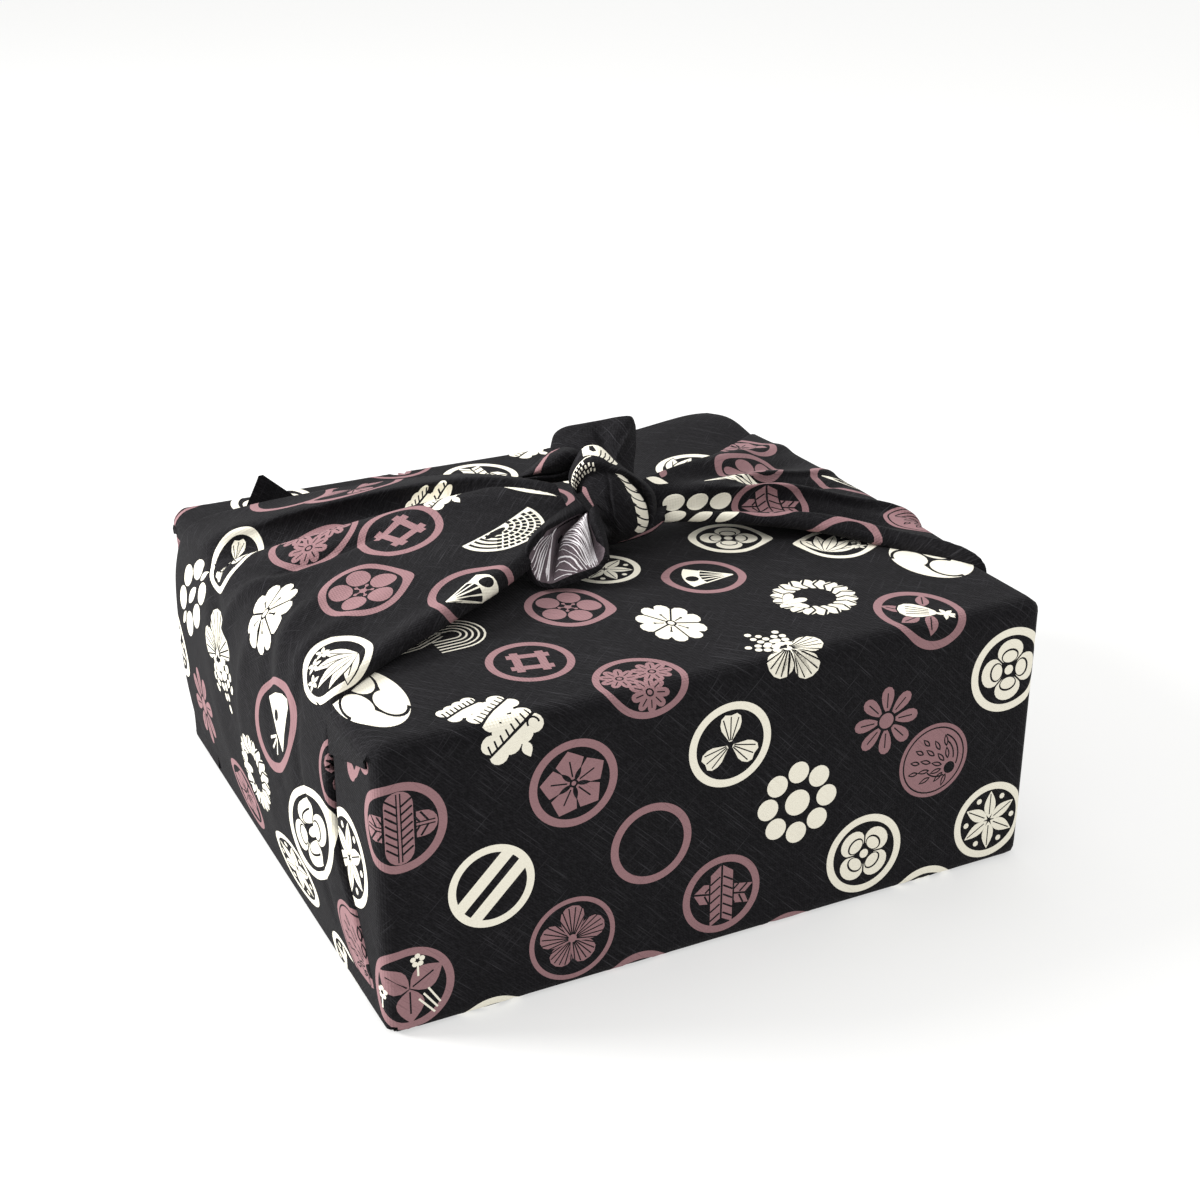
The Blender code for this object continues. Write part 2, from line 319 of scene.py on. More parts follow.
def arc_stroke(radius, start, end, width=FINE, x=0.0, y=0.0, steps=10):
    return stroke(arc(radius, start, end, x, y, steps), width)


def spun(ink, shape, count, first=0.0):
    """Copies of one outline round the middle."""
    return [(ink, turned(shape, first + 360 * i / count)) for i in range(count)]


def rays(count, start, end, width, first=0.0, ink=GROUND):
    """Straight lines that run out from the middle."""
    return spun(ink, stroke([(0, start), (0, end)], width), count, first)


def heart(ink, outer, inner, sides=(12, 10)):
    """A small disc with ground round it, in a flower's middle."""
    return [(GROUND, disc(outer, sides=sides[0])), (ink, disc(inner, sides=sides[1]))]


def moved(motif, x=0.0, y=0.0, turn=0.0, size=1.0):
    return [(ink, turned(outline * size, turn, x, y)) for ink, outline in motif]


# %% Rings and simple figures


def ring(ink, outer=RING_OUTER, inner=RING_INNER):
    return [(ink, disc(outer, sides=56)), (GROUND, disc(inner, sides=48))]


def plain_ring(ink):
    return ring(ink, 18.5, 15.0)


def ring_with_bars(ink):
    return ring(ink) + [(ink, bar(33, 5.6, 0, -4.8)), (ink, bar(33, 5.6, 0, 4.8))]


def nine_discs(ink):
    return [(ink, disc(6.4, sides=28))] + spun(ink, disc(5.3, 0, 15.2), 8)


def plum(ink):
    """Five round petals, and five stamens with round tips."""
    motif = ring(ink) + spun(ink, disc(5.5, 0, 9.9, 24), 5) + [(GROUND, disc(4.6, sides=16))]
    motif += spun(ink, disc(0.9, 0, 4.0, 8), 5, 36) + rays(5, 0, 3.6, 0.6, 36, ink)
    return motif + [(ink, disc(1.7, sides=12))]


def well_curb(ink):
    motif = ring(ink)
    for turn in (0, 90):
        for y in (-5.8, 5.8):
            motif.append((ink, turned(bar(19.5, 3.8, 0, y), turn)))
    return motif


def swirl(ink):
    """Three commas that chase each other: a round head, and a tail along the rim."""
    outer = arc(RING_OUTER, 98, 212, steps=16)
    share = np.linspace(0, 1, len(outer))
    inner = outer * np.minimum(0.3 + 0.8 * share ** 1.9, 0.97)[:, None]
    tail = np.vstack((outer, inner[::-1]))
    neck = np.vstack((outer[:9], inner[8::-1]))
    motif = spun(ink, tail, 3) + spun(GROUND, disc(9.8, -0.8, 10.0, 22), 3)
    return motif + spun(ink, disc(8.2, -0.8, 10.1, 22), 3) + spun(ink, neck, 3)


def comma(ink):
    share = np.linspace(-1, 1, 9)
    line = np.stack((12 * share, 2.5 * np.sin(3 * share)), 1)
    return [(ink, stroke(line, 3.0)), (ink, disc(4.2, -9, -1, 14)), (ink, oval(5.0, 3.6, 9, 1.5))]


def sliver(ink):
    """The part of a ring that a fold leaves in sight."""
    return [(ink, leaf(22, 7, -11, 90))]


def disc_rows(ink):
    """Two rows of discs that a fold brings side by side."""
    motif = [(ink, oval(3.8, 5.3, 1.5 - 2.6 * i, 11 - 11.4 * i)) for i in range(3)]
    return motif + [(ink, oval(2.6, 5.6, -5 - 5 * i, 12 - 11.5 * i)) for i in range(3)]


def ribbed_petal(ink):
    """A broad petal with slanted ribs."""
    motif = [(ink, petal(31, 12, -15.5))]
    for y in range(-6, 16, 4):
        motif.append((GROUND, stroke([(-5, y - 2), (0, y), (6, y + 3)], 1.0)))
    return motif


def figure_in_ring(ink):
    """A ring round half a cream shell with feelers."""
    shell = clipped(-leaf(28, 32, -13.5), 0.5) * (-1, 1)
    feelers = [(CREAM, turned(bar(7, 1.2, -5, 0), turn, -1, -6)) for turn in (-30, 0, 30)]
    return ring(ink) + [(CREAM, shell), (GROUND, disc(2.6, 4, 1, 12))] + feelers


# %% Flowers


def cherry(ink):
    """Five broad petals with a notch between each two."""
    half = [(0.8, 1.5), (3.4, 4.4), (6.4, 8.6), (8.9, 13.0), (8.8, 16.0), (6.8, 18.4), (4.2, 19.2),
            (1.9, 18.6), (0.0, 15.6)]
    blade = np.array(half + [(-x, y) for x, y in half[-2::-1]])
    motif = spun(ink, blade, 5) + rays(5, 2, 20, 1.1, 36) + rays(5, 4, 9, 0.8)
    return motif + spun(GROUND, disc(0.9, 0, 9.4, 8), 5) + heart(ink, 3.2, 2.0)


def bellflower(ink):
    tip = [(0, 1.2), (4.2, 6.0), (6.4, 10.2), (3.6, 12.6), (0, 15.4), (-3.6, 12.6), (-6.4, 10.2),
           (-4.2, 6.0)]
    motif = ring(ink) + spun(ink, tip, 5) + rays(5, 3, 10.5, 0.7)
    return motif + spun(GROUND, leaf(7, 2.2, 1.0), 5, 36) + heart(ink, 2.0, 1.1, (10, 8))


def quartered_flower(ink):
    motif = ring(ink) + spun(ink, oval(6.8, 5.6, 0, 9.0), 4)
    motif += spun(GROUND, oval(4.6, 3.5, 0, 6.7), 4) + spun(ink, oval(3.9, 2.8, 0, 6.4), 4)
    return motif + rays(4, 0, 9.4, 0.8, 45) + heart(ink, 3.2, 2.3, (16, 14))


def leaf_star(ink):
    motif = ring(ink) + spun(ink, leaf(14.6, 6.6, 1.0), 6) + rays(6, 3, 14, 0.6)
    return motif + spun(ink, disc(1.5, 0, 13.2, 8), 6, 30)


def round_star(ink):
    return spun(ink, petal(14, 9.5, 4.5), 8) + rays(8, 7, 15, 0.7) + heart(ink, 5.4, 4.2, (20, 20))


def daisy(ink):
    """A small round flower of nine petals."""
    return spun(ink, petal(7.6, 5.0, 0.8), 9) + rays(9, 3, 6.4, 0.5) + heart(ink, 1.8, 1.1, (10, 8))


def three_daisies(ink):
    motif = ring(ink, 20.5, 17.4)
    for turn in (60, 180, 300):
        motif += moved(moved(daisy(ink), 0, 8.9, size=1.08), turn=turn)
    return motif


def carved_flower(ink):
    """A solid disc with the leaves of a plant left as ground lines."""
    motif = [(ink, disc(19.5, sides=48)), (GROUND, disc(17.6, sides=40)), (ink, disc(16.8, sides=40))]
    for start, length, step in ((4, 7, 30), (11, 7, 20), (17.5, 6, 16)):
        for angle in range(10, 171, step):
            spray = turned(leaf(length, 2.6, start), angle, 9, -5)
            if np.abs(spray).max() < 16 and np.hypot(*spray.T).max() < 16.4:
                motif += [(GROUND, spray), (ink, turned(leaf(length - 2.4, 1.1, start + 1.2), angle, 9, -5))]
    motif += [(GROUND, disc(3.2, 9.5, -6, 14)), (GROUND, arc_stroke(14, -20, 62, 0.8))]
    return motif + [(GROUND, arc_stroke(11.4, -6, 50, 0.8)), (GROUND, arc_stroke(9.5, -140, -75, 0.8, 4, 0))]


# %% Leaves


def vein_fan(length, count, spread):
    """Outlines of the veins that leave a leaf's foot in a fan."""
    veins = []
    for i in range(count):
        turn = spread * (2 * i / (count - 1) - 1)
        reach = length * math.cos(math.radians(turn * 0.8))
        veins.append(turned(stroke([(0, 2.0), (0, reach)], 0.6), turn))
    return veins


def veined_lobe(ink, lobe, rim, veins, turn):
    """A lobe with a rim of ground round it, and ground veins."""
    return [(GROUND, lobe * rim), (ink, lobe)] + [(GROUND, turned(vein, turn)) for vein in veins]


def three_leaves(ink):
    motif = ring(ink) + spun(ink, petal(14.2, 13.5, 1.2, notch=1.6), 3)
    for vein in vein_fan(13.2, 5, 34):
        motif += spun(GROUND, vein, 3)
    return motif + [(GROUND, disc(1.5, sides=8))]


def lobed_leaf(ink):
    motif = ring(ink, 20.5, 18.2)
    for turn, length in ((145, 14.5), (-145, 14.5), (72, 16), (-72, 16), (0, 16.6)):
        lobe = petal(length, 15.0, 0.0, turn)
        motif += veined_lobe(ink, lobe, 1.06, vein_fan(length - 1.0, 6, 30), turn)
    return motif


# %% Feathers


def feather(ink, length, width, bands=6):
    """A rounded feather with a split shaft and slanted bands."""
    half = length / 2 - width / 2
    outline = np.vstack((arc(width / 2, 0, 180, 0, half, 8), arc(width / 2, 180, 360, 0, -half, 8)))
    motif = [(ink, outline)]
    for i in range(bands + 1):
        y = -half - 2 + i * (2 * half + 1) / bands
        for side in (-1, 1):
            motif.append((GROUND, stroke([(side * 0.6, y), (side * (width / 2 - 0.4), y + 3.4)], 0.9)))
    for x in (-0.8, 0.8):
        motif.append((GROUND, stroke([(x, -length / 2 + 1), (x, length / 2 - 1)], 0.6)))
    return motif


def crossed_feathers(ink):
    cross = moved(feather(ink, 32, 11.5), turn=90)
    return ring(ink) + cross + [(GROUND, bar(14.2, 28)), *feather(ink, 32.5, 12)]


def arrow_flight(ink, length, width, bands=5):
    """The feathers of an arrow: two slanted halves beside a shaft, with bands."""
    half = length / 2
    motif = []
    for side in (-1, 1):
        edge = side * width / 2
        motif.append((ink, np.array(((side * 0.5, -half + 2), (edge, -half - 1), (edge, half - 4),
                                     (side * 0.5, half)))))
        for i in range(bands):
            y = -half + 5 + i * (length - 6) / bands
            motif.append((GROUND, stroke([(side * 0.8, y), (edge, y - 3.2)], 0.9)))
    return motif


def crossed_arrows(ink):
    across = moved(arrow_flight(ink, 29, 10), turn=78)
    return ring(ink) + across + [(GROUND, bar(13.2, 26)), *arrow_flight(ink, 30, 11.5)]


# %% Sprays and wreaths


def three_blades(ink):
    """Three pointed leaves with small cream flowers and stems between them."""
    motif = ring(ink) + spun(ink, leaf(17.0, 12.5, 0.2), 3, 60)
    motif += rays(3, 1.5, 12.5, 0.8, 60)
    for x, y in ((4, 13), (-13, -2)):
        motif += moved(spun(CREAM, disc(1.3, 0, 2.1, 8), 5), x, y)
        motif.append((CREAM, bar(0.9, 6.5, x, y - 4.5)))
    for step in (-2.2, 0, 2.2):
        motif.append((CREAM, stroke([(6 + step, -4 + step), (12 + step * 0.6, -12.5 + step)], 0.9)))
    return motif


def bamboo(ink):
    """Five long leaves that leave one joint, and three small flowers."""
    joint = (-7.0, -11.0)
    motif = ring(ink)
    for turn, length in ((-66, 20), (30, 20), (-42, 23), (6, 23), (-18, 25)):
        motif.append((GROUND, leaf(length * 1.06, 8.6, -0.4, turn, 0.5) + joint))
        motif.append((ink, leaf(length, 7.0, 0, turn, 0.5) + joint))
        motif += moved(rays(1, 3, length - 4, 0.5, turn), *joint)
    for place in ((11, 4), (6, 11), (12, -3)):
        motif += moved(spun(ink, leaf(3.9, 2.0, 0.3), 5), *place)
    return motif


def wreath(ink):
    """Two rows of leaves round an open middle, with a larger bud on the left."""
    motif = spun(ink, oval(3.0, 3.4, 0, 16.6), 18) + [(ink, disc(17.2, sides=40))]
    motif += [(GROUND, disc(11.8, sides=36))] + spun(ink, oval(2.3, 2.0, 0, 12.0, sides=12), 18, 10)
    motif.append((GROUND, arc_stroke(14.7, 0, 360, 0.9, steps=36)))
    motif += spun(GROUND, stroke([(0, 14.8), (3.0, 20)], 1.1), 18, 10)
    motif += spun(GROUND, stroke([(0, 14.6), (2.2, 10)], 1.0), 18, 10)
    for turn in (-140, -40, -90):
        bud = turned(petal(13, 6.5, -2), turn, -15, 0)
        motif += [(GROUND, (bud + (15, 0)) * 1.12 - (15, 0)), (ink, bud)]
    return motif


def leaf_and_buds(ink):
    """A veined three-lobed leaf under three sprays of small round buds."""
    motif = []
    for turn, length in ((180, 18), (112, 17), (-112, 17)):
        lobe = petal(length, 16, 0, turn)
        motif += veined_lobe(ink, lobe, 1.05, vein_fan(length - 1.2, 7, 36), turn)
    for turn, count in ((0, 4), (38, 3), (-38, 3)):
        for i in range(count):
            for side in (-1, 1):
                bud = disc(1.9 - 0.15 * i, side * 1.9, 4.6 + 3.8 * i, 10)
                motif.append((ink, turned(bud, turn)))
        motif.append((ink, turned(disc(1.6, 0, 5 + 3.8 * count, 10), turn)))
    return motif


def bud_in_ring(ink):
    motif = ring(ink)
    for turn, x, y in ((100, -3, -3), (40, -5, 3), (-35, 5, 4), (150, 2, -4)):
        blade = turned(leaf(11.5, 6.0), turn, x, y)
        motif += [(ink, blade), (GROUND, turned(stroke([(0, 2), (0, 9)], 0.6), turn, x, y))]
    bud = turned(petal(17, 17, -8.5), 55, -0.5, 1.5)
    motif += [(GROUND, bud * 1.08), (CREAM, bud)]
    for x in (-3.6, -1.2, 1.2, 3.6):
        motif.append((GROUND, turned(stroke([(x * 0.6, -5), (x, 5)], 0.6), 55, -0.5, 1.5)))
    motif.append((CREAM, stroke([(5, -3), (13, -7.5)], 1.3)))
    return motif + moved(spun(CREAM, leaf(4.2, 2.2, 0.2), 5), 9.5, -5.5)


# %% Fans, pines, waves and scales


def fan(ink):
    """A half-open folding fan with a round mark on its leaf."""
    outline = np.vstack((arc(25, 62, 118, 0, -14), arc(16, 118, 62, 0, -14)))
    motif = [(ink, outline), (GROUND, disc(3.4, -1.5, 6.6, 18))]
    for end in arc(17, 62, 118, 0, -14, steps=4):
        motif.append((ink, stroke([(0, -15), end], 1.0)))
    return motif


def fan_in_ring(ink):
    return ring(ink) + moved(fan(CREAM), 0, 0, 95, 0.95)


def pine_crown(ink, x, y, length, turn):
    """A cloud of needles on both sides of a branch."""
    motif = [(ink, bar(length * 0.86, 6.0))]
    for share in (-0.36, -0.12, 0.12, 0.36):
        lump = length * (0.17 - 0.1 * share ** 2)
        motif += [(ink, disc(lump, share * length, 3.0, 14)), (ink, disc(lump, share * length, -2.6, 14))]
    motif.append((GROUND, stroke([(-0.5 * length, -0.6), (0, 0.4), (0.5 * length, 0)], 1.1)))
    for share in np.linspace(-0.44, 0.42, 8):
        motif.append((GROUND, stroke([(share * length, 0), (share * length + 0.9, 3.4)], 0.7)))
    return moved(motif, x, y, turn)


def pine(ink):
    """Three crowns of needles that step down a leaning trunk."""
    motif = pine_crown(ink, -8.5, 9.5, 17, 24) + pine_crown(ink, 1, 4, 21, 40)
    motif += pine_crown(ink, 4, -8.5, 23, 34)
    return motif + [(GROUND, arc_stroke(2.2, 0, 200, 0.8, 12, -6)), (ink, leaf(7, 4, 0, 200) + (8, -12))]


def waves(ink):
    """Five lines that turn back in a loop across five more."""
    motif = []
    for i in range(5):
        radius = 3.6 + 2.5 * i
        loop = np.vstack(((-12 + i, radius - 1), arc(radius, 80, -90, 6, 0, 12), (-4, -radius - 0.5)))
        motif.append((ink, stroke(loop, 0.9)))
    for i in range(4):
        motif.append((ink, stroke([(-24, -9 + i), (-10, -6.5 + 2.0 * i), (2, 2.4 * i)], 0.8)))
    return motif


def scaled_crescent(ink):
    """A horn with rows of small scales that run out into lines at the tip."""
    outer = arc(20, 190, 392, steps=28)
    tip, end = outer[0], outer[-1]
    share = np.linspace(0, 1, 9)[:, None]
    edge = end + (tip - end) * share - np.sin(math.pi * share) * (-1.5, 2.5)
    motif = [(ink, np.vstack((outer, edge[1:-1])))]
    across = np.array((tip[1] - end[1], end[0] - tip[0])) / np.hypot(*(end - tip))
    motif.append((GROUND, oval(5.8, 2.1, -3.4, -3.4, 21)))
    for radius in (17.2, 14.2, 11.2, 8.2, 5.2):
        for angle in np.arange(250, 388, 170 / radius):
            scale = turned(bar(2.1, 2.2, radius), angle)
            if ((scale.mean(axis=0) - tip) @ across) < -3.2:
                motif.append((GROUND, scale))
        line = arc(radius, 196, 246)
        line = line[(line - tip) @ across < -1.0]
        if len(line) > 2:
            motif.append((GROUND, stroke(line, 1.4)))
    return motif


# %% [markdown]
# ## From flat cloth to folded cloth
# A sheet is a rule that sends two shares, along and across, to a point in space. `Cloth` walks
# over that surface and measures it, which lays it out flat again: across is measured from the
# sheet's middle lane and along on that lane. Where the rule folds the cloth over itself, the
# flat cloth just has more width there, so the print disappears into the fold as real print does.
# A cloth simulation could drape the square, but its folds fall where they like and it ties no
# knot, so rules are used, whose folds can be placed.

# %% Cloth
SLIGHT = 1e-3  # the step in a share over which a slope is read


class Cloth:
    def __init__(self, rule, steps=150, lanes=420, middle=0.5):
        self.rule = rule
        self.alongs = np.linspace(0, 1, steps)
        self.acrosses = np.linspace(0, 1, lanes)
        grid = rule(*np.meshgrid(self.alongs, self.acrosses, indexing="ij"))
        centre = round(middle * (lanes - 1))
        gaps = np.linalg.norm(np.diff(grid, axis=1), axis=2)
        self.wide = np.concatenate((np.zeros((steps, 1)), np.cumsum(gaps, 1)), 1)
        self.wide -= self.wide[:, centre:centre + 1]
        runs = np.linalg.norm(np.diff(grid[:, centre], axis=0), axis=1)
        self.long = np.concatenate(((0.0,), np.cumsum(runs)))

    def row(self, along):
        """The flat places of all lanes at each share along."""
        spot = np.clip(along, 0, 1) * (len(self.alongs) - 1)
        first = np.minimum(spot.astype(int), len(self.alongs) - 2)
        part = (spot - first)[:, None]
        return self.wide[first] * (1 - part) + self.wide[first + 1] * part

    def flat(self, along, across):
        """Flat places in millimetres: across, then along."""
        rows = self.row(along)
        spot = np.clip(across, 0, 1) * (rows.shape[1] - 1)
        first = np.minimum(spot.astype(int), rows.shape[1] - 2)
        part = spot - first
        pick = np.arange(len(rows))
        x = rows[pick, first] * (1 - part) + rows[pick, first + 1] * part
        return np.stack((x, np.interp(along, self.alongs, self.long)), 1)

    def shares(self, places):
        along = np.interp(places[:, 1], self.long, self.alongs)
        rows = self.row(along)
        after = np.clip((rows < places[:, :1]).sum(1), 1, rows.shape[1] - 1)
        pick = np.arange(len(rows))
        low, high = rows[pick, after - 1], rows[pick, after]
        part = np.clip((places[:, 0] - low) / np.maximum(high - low, 1e-9), 0, 1)
        return along, (after - 1 + part) / (rows.shape[1] - 1)

    def points_and_normals(self, places):
        along, across = self.shares(places)
        points = self.rule(along, across)
        up = self.rule(np.clip(along + SLIGHT, 0, 1), across)
        up -= self.rule(np.clip(along - SLIGHT, 0, 1), across)
        side = self.rule(along, np.clip(across + SLIGHT, 0, 1))
        side -= self.rule(along, np.clip(across - SLIGHT, 0, 1))
        normals = np.cross(side, up)
        return points, normals / (np.linalg.norm(normals, axis=1)[:, None] + 1e-12)


# %% [markdown]
# ## Cutting the print into the cloth
# `delaunay_2d_cdt` makes triangles from points and closed outlines. Grid points give the sheet
# enough triangles to bend, and the outlines of the motifs are kept as edges, so each triangle
# lies wholly inside or outside each outline and takes one ink. Bisecting a grid would do for a
# few straight edges, but not for hundreds of curved ones.

# %% Printed sheet
THICKNESS = 0.8
CLEAR_OF_OUTLINE = 0.55  # grid points nearer an outline than this are left out
WELD = 1e-4
THREAD_TURN = 45.0  # the box stands cornerwise on the cloth


def signed_area(outline):
    x, y = outline[:, 0], outline[:, 1]
    return 0.5 * float(np.sum(x * np.roll(y, -1) - np.roll(x, -1) * y))


def cut_print(border, grid, motifs):
    """Triangles of the flat cloth, and the ink of each."""
    outlines = [(GROUND, border)] + [(ink, outline) for ink, outline in motifs]
    points, faces = [], []
    for _, outline in outlines:
        if signed_area(outline) < 0:
            outline = outline[::-1]
        faces.append(list(range(len(points), len(points) + len(outline))))
        points.extend(map(tuple, outline))
    near = kdtree.KDTree(len(points))
    for i, (x, y) in enumerate(points):
        near.insert((x, y, 0), i)
    near.balance()
    for x, y in grid:
        if near.find((x, y, 0))[2] > CLEAR_OF_OUTLINE:
            points.append((x, y))
    result = delaunay_2d_cdt([Vector(point) for point in points], [], faces, 0, WELD, True)
    places, triangles, sources = result[0], result[2], result[5]
    kept = [(tri, outlines[max(own)][0]) for tri, own in zip(triangles, sources) if 0 in own]
    places = np.array([tuple(place) for place in places])
    return places, np.array([tri for tri, _ in kept]), np.array([ink for _, ink in kept])


def rim_edges(triangles):
    """Directed edges that only one triangle has."""
    edges = np.vstack((triangles[:, :2], triangles[:, 1:], triangles[:, ::2][:, ::-1]))
    key = np.sort(edges, axis=1)
    _, first, count = np.unique(key, axis=0, return_index=True, return_counts=True)
    return edges[first[count == 1]]


def rectangle_border(cloth, alongs, acrosses):
    """The sheet's edge as flat places, once round."""
    low, high = alongs[0], alongs[-1]
    left, right = acrosses[0], acrosses[-1]
    path = [(low, c) for c in acrosses[:-1]] + [(a, right) for a in alongs[:-1]]
    path += [(high, c) for c in acrosses[:0:-1]] + [(a, left) for a in alongs[:0:-1]]
    path = np.array(path)
    return cloth.flat(path[:, 0], path[:, 1])


def printed_sheet(name, cloth, alongs, acrosses, motifs=(), border=None, inside=GROUND):
    """A thin closed mesh on the cloth's rule with the motifs printed on its outer face."""
    grid_along, grid_across = (part.ravel() for part in np.meshgrid(alongs, acrosses))
    grid = cloth.flat(grid_along, grid_across)
    if border is None:
        border = rectangle_border(cloth, alongs, acrosses)
    places, triangles, inks = cut_print(border, grid, motifs)
    used, triangles = np.unique(triangles, return_inverse=True)
    places, triangles = places[used], triangles.reshape(-1, 3)
    points, normals = cloth.points_and_normals(places)
    count = len(points)
    rim = rim_edges(triangles)
    back = triangles[:, ::-1] + count
    quads = np.stack((rim[:, 1], rim[:, 0], rim[:, 0] + count, rim[:, 1] + count), 1)
    mesh = bpy.data.meshes.new(name)
    corners = np.vstack((points, points - normals * THICKNESS)) * MM
    mesh.from_pydata(corners.tolist(), [], triangles.tolist() + back.tolist() + quads.tolist())
    for material in cloth_materials:
        mesh.materials.append(material)
    slots = np.concatenate((inks, np.full(len(back), inside), np.full(len(quads), GROUND)))
    mesh.polygons.foreach_set("material_index", slots.astype(np.int32))
    mesh.polygons.foreach_set("use_smooth", np.ones(len(slots), bool))
    turned_places = turned(np.vstack((places, places)), THREAD_TURN) * MM
    layer = mesh.uv_layers.new(name="cloth")
    of_loop = np.empty(len(mesh.loops), np.int32)
    mesh.loops.foreach_get("vertex_index", of_loop)
    layer.data.foreach_set("uv", turned_places[of_loop].astype(np.float32).ravel())
    mesh.normals_split_custom_set_from_vertices(np.vstack((normals, -normals)).tolist())
    piece = bpy.data.objects.new(name, mesh)
    bpy.context.scene.collection.objects.link(piece)
    area = abs(signed_area(border))
    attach(piece, BODY)
    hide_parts(NODE)
    return piece


# %% [markdown]
# ## The wrapped body
# The front and back flaps are one rule: up the face from under the box, over the upper edge and
# across the top. Beyond the vertical edges the flap turns the corner and runs on along the side
# face, where the ties cover its end. A bevelled box would have the same form, but no flat cloth
# to lay the print on.

# %% Body sizes
HALF_WIDTH = 151.0
HALF_DEPTH = 139.0
HEIGHT = 124.6
EDGE_RADIUS = 7.0
FOOT_RADIUS = 3.5
SIDE_REACH = 52.0  # how far a flap's rule runs along the side face
FLAP_START = -3.0  # a flap's lower edge lies this far under the box
FRONT_LENGTH = 266.0
BACK_LENGTH = 262.0
TOP_STEP = 1.0  # the back flap lies this much lower on top than the front flap
OVERHANG = 0.9  # the top flap's drop lies this far outside the strip below it


def bend(spot, length, radius):
    """Follows a line to its end and round a quarter turn: how far out, how far past, angle."""
    past = spot - (length - radius)
    angle = np.clip(past / radius, 0, math.pi / 2)
    out = np.where(past < 0, spot, length - radius + radius * np.sin(angle))
    depth = radius * (1 - np.cos(angle)) + np.maximum(past - radius * math.pi / 2, 0)
    return out, depth, angle


def flap_point(up, sideways, top_drop=0.0):
    """A point of the front flap: up its face and over the top, and sideways from its middle."""
    foot = np.clip((FOOT_RADIUS - up) / FOOT_RADIUS, 0, math.pi / 2)
    height, depth, angle = bend(up, HEIGHT - top_drop, EDGE_RADIUS)
    height = np.where(up < FOOT_RADIUS, FOOT_RADIUS * (1 - np.sin(foot)), height)
    depth = depth + FOOT_RADIUS * (1 - np.cos(foot))
    depth = depth + np.maximum(FOOT_RADIUS * (1 - math.pi / 2) - up, 0)
    out, past, _ = bend(np.abs(sideways), HALF_WIDTH, EDGE_RADIUS)
    out = out + OVERHANG * np.sin(angle) * np.clip(past / 6, 0, 1)
    x = np.sign(sideways) * out
    y = -HALF_DEPTH + depth + np.cos(angle) * past
    z = height - np.sin(angle) * past
    return np.stack((x, y, z), -1)


def whole_flap(length, along, across, top_drop=0.0):
    """A flap from its lower edge to its length and right across, by shares of both."""
    up = FLAP_START + (length - FLAP_START) * along
    return flap_point(up, (HALF_WIDTH + SIDE_REACH) * (2 * across - 1), top_drop)


def front_rule(along, across):
    return whole_flap(FRONT_LENGTH, along, across)


PUFF_HEIGHT = 8.0  # the cloth stands loose above the box at its back right corner
PUFF_MIDDLE = (141.0, 124.0)
PUFF_REACH = (42.0, 31.0)
PUFF_ROUND = 18.0  # the loose corner is drawn in over this much of its edges
PUFF_DRAW = (7.0, 6.0)


def back_rule(along, across):
    point = whole_flap(BACK_LENGTH, along, across, TOP_STEP) * (-1, -1, 1)
    dx = (point[..., 0] - PUFF_MIDDLE[0]) / PUFF_REACH[0]
    dy = (point[..., 1] - PUFF_MIDDLE[1]) / PUFF_REACH[1]
    lift = PUFF_HEIGHT * np.exp(-dx * dx - dy * dy)
    upper = np.clip((point[..., 2] / HEIGHT - 0.8) / 0.2, 0, 1)
    edge = (point[..., :2] - (HALF_WIDTH, HALF_DEPTH)) / PUFF_ROUND
    point[..., :2] -= PUFF_DRAW * (upper * np.exp(-np.sum(edge ** 2, axis=-1)))[..., None]
    point[..., 2] += lift * upper
    return point


# %% Flap borders
STRIP_REACH = 44.0  # how far a flap's cloth runs along the side face
STRIP_TOP = HEIGHT - 7.0
BORDER_STEP = 4.0


def flap_border(length, drop):
    """The outline of a flap's flat cloth: wide up the face, then the width of the top.

    drop is how much of it hangs over the side edge on top, under the ties.
    """
    foot, reach = FOOT_RADIUS, HALF_WIDTH + STRIP_REACH
    half = [
        (HALF_WIDTH - foot, FLAP_START), (HALF_WIDTH - foot, foot), (reach, foot),
        (reach, STRIP_TOP), (HALF_WIDTH + 10, STRIP_TOP), (HALF_WIDTH + 8, HEIGHT + 4),
        (HALF_WIDTH + drop, HEIGHT + 46), (HALF_WIDTH + drop, length),
    ]
    corners = half + [(-x, y) for x, y in half[::-1]]
    border = []
    for here, there in zip(corners, corners[1:] + corners[:1]):
        count = max(1, round(math.dist(here, there) / BORDER_STEP))
        border += [tuple(np.array(here) + (np.array(there) - here) * i / count) for i in range(count)]
    return np.array(border)


def even(start, end, step):
    """Shares at about one step from each other, both ends among them."""
    return np.linspace(start, end, max(2, round((end - start) / step) + 1))


# %% Placing motifs
def place_motifs(table, offset=(0.0, 0.0)):
    """Paints each row of a table of x, y, motif, ink, turn and size.

    Where the cloth is gathered, size is wide, tall and the direction of wide.
    """
    painted = []
    for x, y, motif, ink, turn, size in table:
        wide, tall, way = size if isinstance(size, tuple) else (size, size, 0)
        for colour, outline in moved(motif(ink), turn=turn - way):
            place = (x + offset[0], y + offset[1])
            painted.append((colour, turned(outline * (wide, tall), way, *place)))
    return painted


def clipped(outline, edge):
    """The part of an outline whose x is under edge."""
    kept = []
    for here, there in zip(outline, np.roll(outline, -1, axis=0)):
        if here[0] <= edge:
            kept.append(here)
        if (here[0] - edge) * (there[0] - edge) < 0:
            share = (edge - here[0]) / (there[0] - here[0])
            kept.append(here + (there - here) * share)
    return np.array(kept).reshape(-1, 2)


